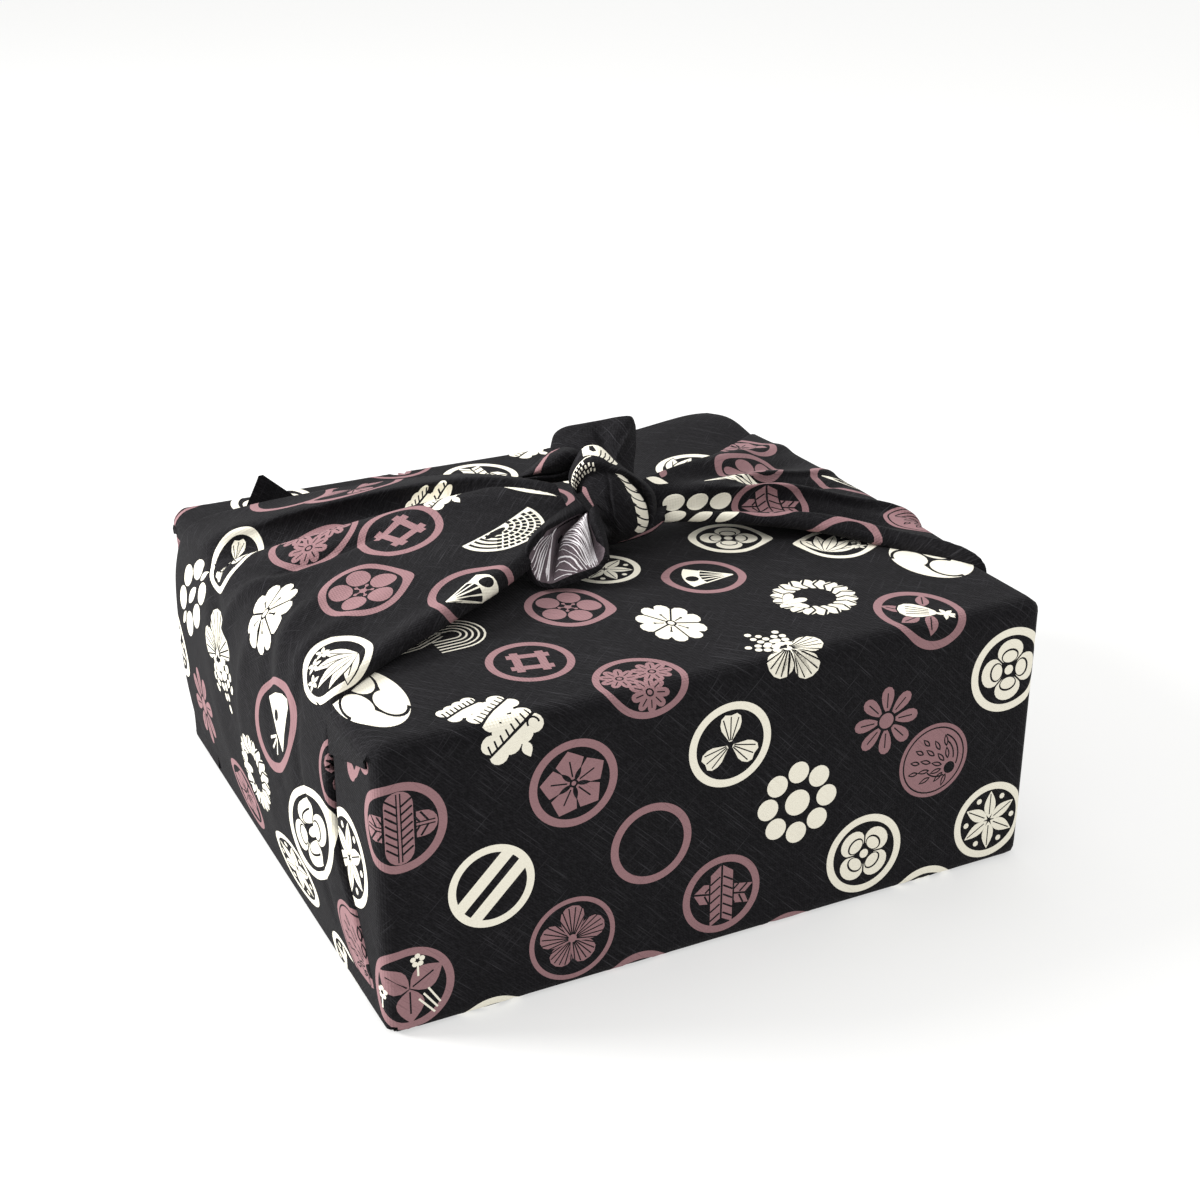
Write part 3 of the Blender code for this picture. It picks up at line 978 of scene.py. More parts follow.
def tucked(motif, way, start, hidden):
    """A motif with a pleat across it: the cloth from start to start + hidden is out of sight."""

    def draw(ink):
        painted = []
        for colour, outline in motif(ink):
            outline = turned(outline, -way)
            near = clipped(outline, start)
            far = -clipped(-outline, -start - hidden) - (hidden, 0)
            painted += [(colour, turned(part, way)) for part in (near, far) if len(part) > 2]
        return painted

    return draw


def pinched(motif, left, right):
    """A motif that tension in the cloth draws out to a point on its left and right."""

    def draw(ink):
        painted = []
        for colour, outline in motif(ink):
            share = outline[:, 0] / RING_OUTER
            pull = np.where(share > 0, right, left) * share ** 4
            outline = outline * np.stack((1 + 0.16 * pull, 1 - 0.55 * pull), 1)
            painted.append((colour, outline))
        return painted

    return draw


LATTICE_WIDE = 68.0
LATTICE_HIGH = 36.0
LATTICE_TURN = 40.0  # from each motif to the next in a row
LATTICE_MOTIFS = (
    (bellflower, MAUVE), (three_leaves, CREAM), (nine_discs, CREAM), (carved_flower, MAUVE),
    (plain_ring, MAUVE), (quartered_flower, CREAM), (crossed_feathers, MAUVE), (cherry, CREAM),
    (lobed_leaf, MAUVE), (leaf_star, CREAM), (ring_with_bars, CREAM), (plum, MAUVE),
    (round_star, MAUVE), (wreath, CREAM), (well_curb, MAUVE), (swirl, CREAM),
)


def lattice(columns, rows, offset, skip=()):
    """Motifs on the print's own lattice, for the faces where no single place matters."""
    painted = []
    for row in range(rows):
        for column in range(columns):
            if (column, row) in skip:
                continue
            motif, ink = LATTICE_MOTIFS[(3 * column + 5 * row) % len(LATTICE_MOTIFS)]
            x = offset[0] + LATTICE_WIDE * (column + 0.5 * (row % 2))
            y = offset[1] + LATTICE_HIGH * row
            painted += moved(motif(ink), x, y, LATTICE_TURN * column)
    return painted


# %% Front flap
FRONT_PRINT = (
    (-143, 91, crossed_feathers, MAUVE, 0, 0.95),
    (-142, 20, three_blades, MAUVE, 0, 0.92),
    (-107, 56, ring_with_bars, CREAM, 45, 0.90),
    (-72, 92, bellflower, MAUVE, 10, 0.94),
    (-73, 22, lobed_leaf, MAUVE, 0, 0.92),
    (-38, 56, plain_ring, MAUVE, 0, 0.98),
    (-5, 23, crossed_arrows, MAUVE, 0, 0.91),
    (-3, 92, three_leaves, CREAM, 0, 0.94),
    (30, 57, nine_discs, CREAM, 0, 0.93),
    (65, 23, quartered_flower, CREAM, 45, 0.94),
    (72, 85, round_star, MAUVE, 0, 0.85),
    (98, 60, carved_flower, MAUVE, 0, 0.90),
    (131, 22, leaf_star, CREAM, 0, 0.93),
    (134, 95, quartered_flower, CREAM, 0, 0.98),
    (-108, -14, plum, CREAM, 0, 0.95),
    (-43, -12, plain_ring, MAUVE, 0, 0.98),
    (28, -14, plain_ring, MAUVE, 0, 0.98),
    (98, -12, three_leaves, CREAM, 0, 0.95),
    (-101, 128, pine, CREAM, 0, 1.08),
    (-183, 62, leaf_star, CREAM, 0, 1.0),
    (-167, 109, comma, MAUVE, 25, 1.0),
)
TOP_PRINT = (
    (-137.5, 41.5, swirl, CREAM, 110, (0.68, 1.33, 0)),
    (-94, 79, waves, CREAM, 0, 1.0),
    (-70, 42, well_curb, MAUVE, -12, 0.89),
    (-38.5, 8.5, three_daisies, MAUVE, 0, 0.92),
    (-34, 82.5, pinched(plum, 0, 0.7), MAUVE, -30, (0.90, 1.0, 0)),
    (-2, 112, leaf_star, CREAM, 0, 0.80),
    (-3, 49, cherry, CREAM, 0, (0.68, 0.95, 0)),
    (33, 85, pinched(fan_in_ring, 0.3, 0.2), MAUVE, -20, 0.90),
    (65, 119, pinched(quartered_flower, 0.3, 1), CREAM, -27, 0.88),
    (105, 91, pinched(bamboo, 1, 0.8), CREAM, -27, 0.84),
    (133, 57, swirl, CREAM, 60, (0.83, 1.1, 0)),
    (64, 45, wreath, CREAM, 0, 0.93),
    (27, 7, leaf_and_buds, CREAM, 25, 0.95),
    (95, 12, bud_in_ring, MAUVE, 0, (0.92, 1.08, 0)),
)
TOP_START = HEIGHT - 2.0  # where the places in TOP_PRINT are counted from
FLAP_GRID = (0.002, 0.998)  # just inside the flap's edges
along_flap = even(*FLAP_GRID, 0.014)
across_flap = even(*FLAP_GRID, 0.0105)


def add_flap(name, rule, border, motifs):
    """A flap whose border and print are counted from the box's foot, not from its lower edge."""
    raised = (0.0, -FLAP_START)
    motifs = [(ink, outline + raised) for ink, outline in motifs]
    printed_sheet(name, Cloth(rule), along_flap, across_flap, motifs, border + raised)


front_motifs = place_motifs(FRONT_PRINT) + place_motifs(TOP_PRINT, (0.0, TOP_START))
add_flap("front_flap", front_rule, flap_border(FRONT_LENGTH - 1, 22), front_motifs)

# %% Back flap and underside
BACK_PRINT = (
    (105, 137, quartered_flower, CREAM, 0, 1.0),
    (131, 167, plain_ring, MAUVE, 0, 1.08),
    (150, 110, lobed_leaf, MAUVE, 0, 1.0),
    (35, 114, lobed_leaf, MAUVE, 0, 1.0),
    (2, 150, crossed_arrows, CREAM, 0, 0.95),
    (-32, 117, pine, CREAM, 180, 1.0),
    (-99, 189, bamboo, CREAM, 120, 1.0),
    (192, 132, plain_ring, MAUVE, 0, 1.0),
    (82, 196, three_leaves, MAUVE, 90, 1.0),
    (50, 168, bellflower, MAUVE, 180, 1.0),
    (-45, 168, cherry, CREAM, 180, 0.8),
    (-10, 192, fan_in_ring, MAUVE, 0, 0.9),
)
back_motifs = lattice(5, 3, (-138, 20), skip=((4, 2),)) + place_motifs(BACK_PRINT)
add_flap("back_flap", back_rule, flap_border(BACK_LENGTH - 1, 12), back_motifs)


def under_rule(along, across):
    x = (HALF_WIDTH - FOOT_RADIUS) * (2 * along - 1)
    y = (HALF_DEPTH - FOOT_RADIUS) * (2 * across - 1)
    return np.stack((x, y, np.zeros_like(x)), -1)


printed_sheet("underside", Cloth(under_rule), even(0, 1, 0.03), even(0, 1, 0.03))

# %% [markdown]
# ## The ties
# The left and right corners are drawn up over the side faces and across the top to the knot. Each
# tie is a smooth loft through a few cross-sections, and its folds are placed on top: a
# ridge or a trough that runs along the tie. A fold may also lean sideways, by which its crest
# moves over the cloth beside it, as a real pleat does. Both edges of a tie are rolled under.
# Sculpting could make such folds as well, but a short table of them can be read and changed.

# %% Tie sections and folds
# Each row is a cross-section. The back edge stands out from the middle by out and at the height
# high, the front edge front_in less and at the height low. front and back are how deep they
# are, crown is the bow between them, and lean its direction in degrees above the level.
TIE_COLUMNS = ("out", "front_in", "front", "back", "low", "high", "crown", "lean")
LEFT_TIE = (
    (149.6, 0, -135, 131, 0.4, 0.4, 0.2, 0),
    (152.8, 0, -114, 136, 34, 34, 1.5, 0),
    (153.5, 0, -91, 138, 68, 66, 2.5, 0),
    (153.0, 0, -90, 132, 100, 98, 2.5, 10),
    (149.0, 1, -92, 113, 125, 123, 2.5, 45),
    (126.0, -2, -79, 112, 129, 128, 3.0, 90),
    (94.0, -2, -64, 106, 133, 132, 4.0, 90),
    (62.0, 3, -44, 92, 136, 137, 5.0, 90),
    (32.0, 5, -22, 62, 138, 146, 5.0, 90),
    (8.0, 2, -5, 20, 139, 154, 2.0, 90),
)
RIGHT_TIE = (
    (149.6, 0, -132, 132, 0.4, 0.4, 0.2, 0),
    (152.8, 0, -116, 128, 34, 34, 1.5, 0),
    (153.5, 0, -98, 122, 68, 66, 2.5, 0),
    (153.0, 0, -94, 110, 100, 98, 2.5, 10),
    (149.0, 0, -93, 98, 125, 126, 2.0, 45),
    (126.0, 0, -65, 80, 129, 131, 3.0, 90),
    (98.0, 0, -41, 51, 134, 139, 4.0, 90),
    (72.0, 0, -23, 30, 136, 144, 4.0, 90),
    (50.0, 0, -10, 16, 138, 147, 3.0, 90),
    (30.0, 0, -2, 9, 139, 148, 1.0, 90),
)
# A fold's columns are start, end, side_lane, knot_lane, half, rise and lean. start and end are
# shares of the tie's length, side_lane and knot_lane shares of its width at those ends, half is
# the half width in millimetres, rise the height, below zero in a trough, and lean how far the
# crest moves towards the back edge.
LEFT_FOLDS = (
    (0.42, 1.10, 0.86, 0.87, 10, 6.0, -14),
    (0.40, 0.88, 0.76, 0.70, 9, -5.5, 0),
    (0.70, 1.10, 0.74, 0.66, 5, -3.0, 0),
    (0.48, 1.05, 0.62, 0.55, 12, 2.5, 0),
    (0.50, 0.72, 0.52, 0.52, 3.5, -2.6, 0),
    (0.22, 0.60, 0.63, 0.47, 6, 2.0, 0),
    (0.28, 0.68, 0.20, 0.40, 7, 1.8, 0),
    (0.22, 0.70, 0.14, 0.23, 6, 1.5, 0),
    (0.12, 0.48, 0.52, 0.38, 7, 1.5, 0),
    (0.24, 0.58, 0.54, 0.86, 9, -2.0, 0),
    (0.18, 0.52, 0.26, 0.37, 6, -1.5, 0),
    (0.06, 0.52, 0.13, 0.17, 5, -2.0, 0),
    (0.02, 0.44, 0.40, 0.44, 12, 1.0, 0),
    (0.02, 0.46, 0.66, 0.70, 14, 1.5, 0),
    (0.40, 1.08, 0.03, 0.06, 6, 2.5, -2),
)
RIGHT_FOLDS = (
    (0.36, 1.05, 0.26, 0.50, 6, 5.5, -8),
    (0.46, 1.12, 0.16, 0.24, 6, -5.0, 0),
    (0.44, 0.86, 0.62, 0.52, 5, 3.6, -6),
    (0.46, 0.84, 0.50, 0.42, 4, -3.0, 0),
    (0.34, 0.72, -0.02, 0.12, 5, 3.0, -3),
    (0.42, 1.10, 0.84, 0.82, 7, 4.0, 0),
    (0.48, 1.02, 0.70, 0.66, 6, -3.0, 0),
    (0.02, 0.44, 0.36, 0.34, 12, 1.5, 0),
)

# %% Tie surface
ROLL_RADIUS = 2.6
ROLL_UNDER = 16.0  # cloth in each edge's roll, with the part that lies underneath


def smooth_weights(share, count):
    """The four rows of a table that a smooth curve reads at a share of its length, with weights."""
    spot = np.clip(share, 0, 1) * (count - 1)
    first = np.minimum(spot.astype(int), count - 2)
    t = spot - first
    rows = [np.clip(first + step, 0, count - 1) for step in (-1, 0, 1, 2)]
    weights = (
        0.5 * t * (t * (2 - t) - 1),
        0.5 * (2 + t * t * (3 * t - 5)),
        0.5 * t * (1 + t * (4 - 3 * t)),
        0.5 * t * t * (t - 1),
    )
    return list(zip(rows, weights))


def table_reader(columns, rows):
    """A function that reads a table at shares of its length, on a smooth curve."""
    values = np.array(rows, float)

    def read(share):
        parts = [values[row] * weight[..., None] for row, weight in smooth_weights(share, len(values))]
        return dict(zip(columns, np.moveaxis(sum(parts), -1, 0)))

    return read


def rolled(inset, radius):
    """Cloth that rolls under at an edge: its shift inward and its drop, by inset from the edge."""
    angle = np.clip((radius - inset) / radius, 0, math.pi)
    shift = np.where(angle < math.pi, radius * (1 - np.sin(angle)), radius)
    shift = np.where(inset > radius, inset, shift)
    shift = np.where(angle >= math.pi, radius + (radius - inset - math.pi * radius), shift)
    return shift, radius * (1 - np.cos(angle))


def tie_rule(table, fold_table, side):
    read = table_reader(TIE_COLUMNS, table)

    def rule(along, across):
        if side < 0:
            across = 1 - across
        row = read(along)
        edge = np.stack((side * (row["out"] - row["front_in"]), row["front"], row["low"]), -1)
        far = np.stack((side * row["out"], row["back"], row["high"]), -1)
        width = np.linalg.norm(far - edge, axis=-1)
        over = (far - edge) / width[..., None]
        lean = np.radians(row["lean"])
        outward = np.stack((side * np.cos(lean), np.zeros_like(lean), np.sin(lean)), -1)
        spot = across * (width + 2 * ROLL_UNDER) - ROLL_UNDER
        share = np.clip(spot / width, 0, 1)
        place = np.clip(spot, 0, width)
        height = row["crown"] * 4 * share * (1 - share)
        shift = np.zeros_like(height)
        for start, end, side_lane, knot_lane, half, rise, lean_over in fold_table:
            way = np.clip((along - start) / (end - start), 0, 1)
            lane = (side_lane + (knot_lane - side_lane) * way) * width
            swell = np.exp(-((place - lane) / half) ** 2) * np.sin(math.pi * way) ** 0.6
            height = height + rise * swell
            shift = shift + lean_over * swell
        front_in, front_drop = rolled(spot, ROLL_RADIUS)
        back_in, back_drop = rolled(width - spot, ROLL_RADIUS)
        place = np.where(spot < width / 2, front_in, width - back_in)
        height = height - front_drop - back_drop
        return edge + over * (place + shift)[..., None] + outward * height[..., None]

    return rule


# %% Left tie
LEFT_PRINT = (
    (18.8, 177.8, pinched(plum, 0, 0.8), MAUVE, 80, (1.07, 1.04, -164)),
    (-3.8, 135.8, cherry, CREAM, 10, (1.05, 0.62, -62)),
    (-70.4, 140.3, three_leaves, CREAM, 60, (1.1, 0.75, -50)),
    (-98.5, 99.2, tucked(nine_discs, 90, -3.5, 7), CREAM, -133, (1.75, 1.0, -133)),
    (-52, 91, leaf_and_buds, CREAM, 200, (1.05, 1.25, -150)),
    (61.2, 144.1, bamboo, CREAM, 200, (1.06, 0.92, -70)),
    (26.9, 92.5, figure_in_ring, MAUVE, 48, (0.95, 1.55, 138)),
    (-46, 177, three_daisies, MAUVE, -60, (1.25, 1.0, -52)),
    (-17, 211, well_curb, MAUVE, 20, (1.05, 1.05, 0)),
    (-91, 213, three_leaves, MAUVE, 30, (1.4, 0.85, 90)),
    (-112, 186, plain_ring, MAUVE, 0, (1.15, 1.15, 0)),
    (-150, 60, leaf_star, CREAM, 0, (1.0, 1.0, 0)),
    (-114, 39, round_star, MAUVE, 0, (1.35, 0.8, -126)),
    (-19, 49, wreath, CREAM, 0, (1.35, 0.8, -147)),
    (-57, 21.6, bellflower, MAUVE, 0, (0.95, 0.7, 173)),
    (58, 58, quartered_flower, CREAM, 20, (1.9, 0.85, -147)),
    (100, 100, lobed_leaf, MAUVE, 0, (1.0, 1.05, 0)),
    (13, 21, leaf_star, CREAM, 0, (1.4, 0.63, -174)),
    (90, 27, carved_flower, MAUVE, 0, (1.0, 0.9, -150)),
    (62, 2, leaf_star, CREAM, 0, (0.9, 0.7, 0)),
    (-11.6, 274, sliver, CREAM, -127, (1.0, 0.8, -127)),
    (11.0, 249.0, scaled_crescent, CREAM, 90, (1.07, 0.85, -68)),
    (54, 217, fan_in_ring, MAUVE, -85, (1.0, 1.05, 0)),
    (-38, 238, pine, CREAM, 80, (1.0, 0.85, 168)),
)
left = Cloth(tie_rule(LEFT_TIE, LEFT_FOLDS, -1), steps=180, lanes=520, middle=0.6)
along_tie = even(0.0, 1.0, 0.011)
across_tie = np.concatenate((even(0, 0.09, 0.006)[:-1], even(0.09, 0.91, 0.011), even(0.91, 1, 0.006)[1:]))
printed_sheet("left_tie", left, along_tie, across_tie, place_motifs(LEFT_PRINT))

# %% Right tie
RIGHT_PRINT = (
    (40, 184, plum, MAUVE, 0, (1.35, 0.8, -49)),
    (82, 163, bellflower, MAUVE, 0, 1.0),
    (14, 208, ribbed_petal, CREAM, 180, 1.0),
    (-11, 198, crossed_arrows, MAUVE, -90, (0.70, 0.9, 0)),
    (24, 131, fan_in_ring, MAUVE, 60, (1.0, 1.1, 0)),
    (-53, 181, plain_ring, MAUVE, 0, 1.0),
    (-32, 130, carved_flower, MAUVE, 0, (0.6, 0.9, 0)),
    (0, 232, disc_rows, CREAM, 0, 1.0),
    (15, 246, sliver, CREAM, 60, (0.45, 0.8, 60)),
    (21, 240, sliver, MAUVE, 150, (0.4, 0.5, 0)),
)
right = Cloth(tie_rule(RIGHT_TIE, RIGHT_FOLDS, 1), steps=180, lanes=520, middle=0.4)
right_motifs = lattice(5, 3, (-136, 20)) + place_motifs(RIGHT_PRINT)
printed_sheet("right_tie", right, along_tie, across_tie, right_motifs)

# %% [markdown]
# ## The knot
# The knot is small and made of cloth that turns every way, so its pieces are laid out one by one: a
# piece is a grid of places, and the sheet is the smooth surface through them. The places are
# written face on, as one looks at the knot from in front, from the left and from above: right, up
# and toward the onlooker, in millimetres from the knot's middle. A flat profile along a curve
# could make a band, but not one whose width and bow change on the way.

# %% Knot frame
KNOT_MIDDLE = np.array((17.0, 1.0, 144.0))
KNOT_TURN = math.radians(-27)
KNOT_RISE = math.radians(24)
KNOT_RIGHT = np.array((math.cos(KNOT_TURN), math.sin(KNOT_TURN), 0))
KNOT_TOWARD = np.array((
    math.sin(KNOT_TURN) * math.cos(KNOT_RISE),
    -math.cos(KNOT_TURN) * math.cos(KNOT_RISE),
    math.sin(KNOT_RISE),
))
KNOT_UP = np.cross(KNOT_TOWARD, KNOT_RIGHT)


def patch_rule(places, folds=()):
    """The smooth surface through a grid of places: rows along, columns across."""
    grid = np.array(places, float) @ np.stack((KNOT_RIGHT, KNOT_UP, KNOT_TOWARD)) + KNOT_MIDDLE

    def rule(along, across):
        column_share = 1 - across
        point = 0
        for row, row_weight in smooth_weights(along, grid.shape[0]):
            for column, column_weight in smooth_weights(column_share, grid.shape[1]):
                point = point + grid[row, column] * (row_weight * column_weight)[..., None]
        for start, end, first_lane, last_lane, half, rise in folds:
            way = np.clip((along - start) / (end - start), 0, 1)
            lane = first_lane + (last_lane - first_lane) * way
            swell = np.exp(-((column_share - lane) / half) ** 2) * np.sin(math.pi * way) ** 0.7
            point = point + KNOT_TOWARD * (rise * swell)[..., None]
        return point

    return rule


def add_patch(name, places, folds=(), print_rule=None, steps=36, inside=GROUND):
    """A knot piece. print_rule(paint) gives its print.

    paint(ink, points) is an outline through points that are counted in the table's rows and
    columns, and with a width it is a line through them.
    """
    cloth = Cloth(patch_rule(places, folds), steps=90, lanes=180)
    rows, columns = len(places), len(places[0])

    def paint(ink, points, width=None):
        row, column = np.array(points, float).T
        flat = cloth.flat(row / (rows - 1), 1 - column / (columns - 1))
        return ink, stroke(flat, width) if width else flat

    motifs = print_rule(paint) if print_rule else ()
    lanes = np.linspace(0, 1, steps)
    return printed_sheet(name, cloth, lanes, lanes, motifs, inside=inside)


# %% Front band
FRONT_BAND = (
    ((-19, 8, 2), (-17, 11, 10), (-12, 14.5, 13), (-5, 15, 14), (1, 13.5, 13), (6, 11.5, 9),
     (11, 9, 4), (13, 8, -4)),
    ((-18, 3, 4), (-15.5, 5.5, 12), (-11, 8, 17), (-3, 8.5, 19), (2.5, 7, 17), (7.5, 4.5, 12),
     (13, 2, 5), (15, 1, -4)),
    ((-15, -1, 6), (-12.8, 0.5, 13), (-8.5, 1, 19), (-2, 0.5, 22), (4, -0.5, 20), (9.5, -2, 14),
     (14.5, -3, 6), (16.5, -4, -4)),
    ((-11, -7, 6), (-8.2, -6.5, 12), (-5, -6.5, 18), (0, -7, 21), (5, -8, 18), (10, -9, 13),
     (15, -9.5, 5), (17, -10, -5)),
    ((-8, -14, 4), (-5.3, -13.5, 9), (-2.5, -13.5, 14), (1, -14, 16), (5, -14, 14),
     (9.5, -14, 10), (13.8, -13.8, 3), (15.5, -14, -6)),
    ((-7, -20, -2), (-4.5, -19.5, 3), (-2, -19, 6), (1, -18.5, 7), (4.5, -17.8, 6),
     (8.5, -16.8, 3), (12.5, -15.5, -2), (14, -15, -8)),
)
FRONT_BAND_FOLDS = (
    (0.10, 0.90, 0.44, 0.40, 0.018, -1.6),
    (0.10, 0.80, 0.48, 0.45, 0.020, 0.7),
    (0.15, 0.75, 0.30, 0.33, 0.020, 0.5),
)


def front_band_print(paint):
    """A mauve streak on the left and a row of cream scales down the right edge."""
    streak = ((1.1, 1.35), (1.3, 1.6), (2.0, 1.55), (2.4, 1.5), (2.85, 1.35), (2.2, 1.2), (1.7, 1.1),
              (1.4, 1.1))
    strip = [(0.35, 3.4), (0.55, 3.9), (0.95, 4.4), (1.5, 4.75), (2.1, 4.9), (2.8, 5.05)]
    strip += [(3.4, 5.15), (3.9, 4.9), (4.15, 5.3), (4.05, 6.1), (3.4, 6.2), (2.6, 6.15), (2.0, 6.1)]
    strip += [(1.3, 5.95), (0.8, 5.6), (0.45, 4.9), (0.25, 4.1)]
    motifs = [paint(MAUVE, streak), paint(CREAM, strip)]
    left_notch = np.array(((-0.14, 0.05), (0.02, 0.45), (0.14, 0.05)))
    right_notch = np.array(((-0.16, 1.7), (0, 1.25), (0.16, 1.7)))
    share = np.linspace(0, 1, 7)
    for place in ((0.5, 3.6), (0.85, 4.1), (1.4, 4.5), (2.0, 4.7), (2.65, 4.9), (3.3, 5.0)):
        line = np.stack((0.2 * np.sin(math.pi * share), 1.7 * share), 1) + place
        motifs.append(paint(GROUND, line, 0.9))
        motifs += [paint(GROUND, left_notch + place), paint(GROUND, right_notch + place)]
    return motifs


add_patch("front_band", FRONT_BAND, FRONT_BAND_FOLDS, front_band_print)

# %% Top band
TOP_BAND = (
    ((-16.5, 3, 8), (-17.2, 4, 12), (-18, 5, 13), (-19, 6, 11), (-20, 7, 6), (-20, 7, -2)),
    ((-14.5, 6.5, 8), (-15.8, 7.5, 13), (-17.5, 9, 15.5), (-19, 10, 13), (-20.5, 11, 7),
     (-20, 11, -3)),
    ((-11.5, 9.5, 10), (-12.8, 11, 15.5), (-14.8, 13.5, 18), (-16.8, 15, 15), (-18.5, 16.5, 8),
     (-18, 17, -2)),
    ((-8.5, 11.5, 11), (-9, 12.8, 16.5), (-10, 16, 19), (-12, 20, 14), (-14, 23.5, 6),
     (-14.5, 24, -4)),
    ((-4.5, 11, 11), (-4.5, 12.3, 16), (-5, 15.5, 18.5), (-6, 20, 14), (-7.5, 24.7, 5),
     (-8, 25, -5)),
    ((0.5, 10, 10), (0.5, 11.3, 14.5), (0.5, 13.5, 16), (-0.5, 17, 12), (-1.5, 20.5, 5),
     (-2, 21, -5)),
    ((7, 9, 7), (7, 10.5, 11), (6.5, 12, 12), (5.5, 13.5, 9), (4.5, 15, 4), (4, 15.5, -5)),
    ((12.5, 3.5, 4), (13, 4.5, 7.5), (14, 6, 8.5), (14.5, 7.3, 6), (14.5, 8.5, 1), (14, 9, -6)),
    ((14.8, -1.5, 1), (15.3, -1, 5), (16.8, 0.3, 6), (18, 1.5, 3), (18.8, 2.5, -2),
     (18.5, 3, -9)),
    ((15, -7, -1), (15.7, -7, 3.5), (17.3, -6.5, 4), (18.7, -6, 0), (19.3, -5.5, -5),
     (19, -5, -11)),
    ((14, -13, -3), (15, -13, 2), (16.5, -12.8, 2), (17.8, -12.5, -1), (18.5, -12, -5),
     (18, -12, -11)),
)


def top_band_print(paint):
    """Cream scales on the band's left leg and the end of a cream swirl above them."""
    motifs = []
    scale = np.array(((0, 0), (0.08, 0.46), (0.23, 0.5), (0.19, 0.04)))
    for lane, count in enumerate((9, 9, 7)):
        for step in range(count):
            place = (0.2 + 0.345 * step, 0.85 + 0.68 * lane + 0.12 * (step % 2))
            motifs.append(paint(CREAM, scale + place))
    motifs.append(paint(CREAM, np.linspace((0.3, 2.85), (3.2, 2.75), 8), 0.7))
    swirl = ((2.7, 3.1), (2.9, 4.0), (3.3, 4.3), (3.9, 4.35), (4.3, 4.1), (4.9, 3.6), (5.4, 3.2),
             (5.2, 2.7), (4.6, 2.55), (4.0, 2.7), (3.4, 2.8))
    motifs.append(paint(CREAM, swirl))
    motifs.append(paint(GROUND, ((3.3, 3.4), (3.4, 3.9), (3.65, 3.9), (3.75, 3.3), (3.5, 3.2))))
    for row in (4.0, 4.35, 4.7, 5.0):
        motifs.append(paint(GROUND, ((row - 0.25, 2.6), (row, 3.0), (row + 0.15, 3.5)), 0.6))
    return motifs


add_patch("top_band", TOP_BAND, (), top_band_print)

# %% Left loop
LEFT_LOOP = (
    ((-44, 12, -12), (-37, 17, -10), (-31, 22, -8), (-25, 24.5, -6), (-20, 24.7, -5),
     (-15, 23, -5)),
    ((-43.5, 12, -8), (-36, 17, -5), (-30, 21.5, -2), (-24.5, 24, 0), (-19.5, 24, 1),
     (-14.5, 22, 0)),
    ((-42.5, 11.5, -6), (-35.5, 15, 1), (-29, 18.5, 5), (-23.5, 21, 7), (-19, 21, 6),
     (-15, 19, 3)),
    ((-42, 11.2, -6), (-35, 12.8, 1), (-28.5, 14.5, 4), (-23.5, 16, 5), (-19.5, 17, 4),
     (-16, 16, 1)),
    ((-41.5, 11, -8), (-35, 12, -6), (-28, 12.6, -5), (-23, 13.5, -4), (-20, 14.5, -3),
     (-17, 14, -3)),
    ((-41.5, 10.8, -6), (-35, 11.3, -1), (-28, 11.6, 1), (-24, 12.2, 2), (-21, 13.5, 2),
     (-18, 13.5, 0)),
    ((-41.5, 10.2, -8), (-35, 10, -3), (-28, 10.2, -1), (-24, 10.8, 0), (-20.5, 11.5, 0),
     (-18, 12, -2)),
    ((-41.5, 9.5, -14), (-35, 9, -12), (-28, 9, -11), (-24, 9.5, -10), (-20.5, 10, -10),
     (-18, 10.5, -10)),
)


def left_loop_print(paint):
    streak = ((3.3, 0.75), (3.3, 1.3), (2.2, 1.5), (1.2, 2.1), (1.0, 3.0), (0.8, 3.3), (0.9, 2.3),
              (1.2, 1.6), (2.2, 1.0))
    return [paint(MAUVE, streak)]


add_patch("left_loop", LEFT_LOOP, (), left_loop_print)

# %% Strap under the knot
UNDER_STRAP = (
    ((-6, -10, -4), (4, -9, -4), (12, -6, -5), (18, -3, -6), (24, -1, -8)),
    ((-6, -16, 5), (3, -14.5, 6), (11, -11.5, 5), (17, -8, 2), (23, -5, -1)),
    ((-6, -20, 4), (2, -18.7, 5), (10, -16.3, 4), (17, -13.5, 2), (23, -8.5, -1)),
    ((-6, -20.5, -2), (2, -19.2, -2), (10, -16.8, -3), (17, -14, -4), (22, -9, -6)),
)


def under_strap_print(paint):
    edge = [(2.0, 0.9), (1.75, 2.0), (1.7, 3.0), (1.75, 3.7), (1.95, 3.9), (2.0, 3.0), (2.05, 2.0)]
    return [paint(MAUVE, edge)]


add_patch("under_strap", UNDER_STRAP, (), under_strap_print)

# %% [markdown]
# ## Tails and ear
# The corners of the cloth stand out of the knot as two tails. The front one lies open: its
# hemmed edge curls up all round, and inside it shows the reverse of the cloth, grey mauve with
# pale wavy lines, in three pleats that run down from the knot. Both tails are grids of places
# like the knot's bands, because every hem and pleat goes its own way. The ear is the pointed end
# of a fold that stands up beside the left tie: a plain triangle with a slight bow will do.

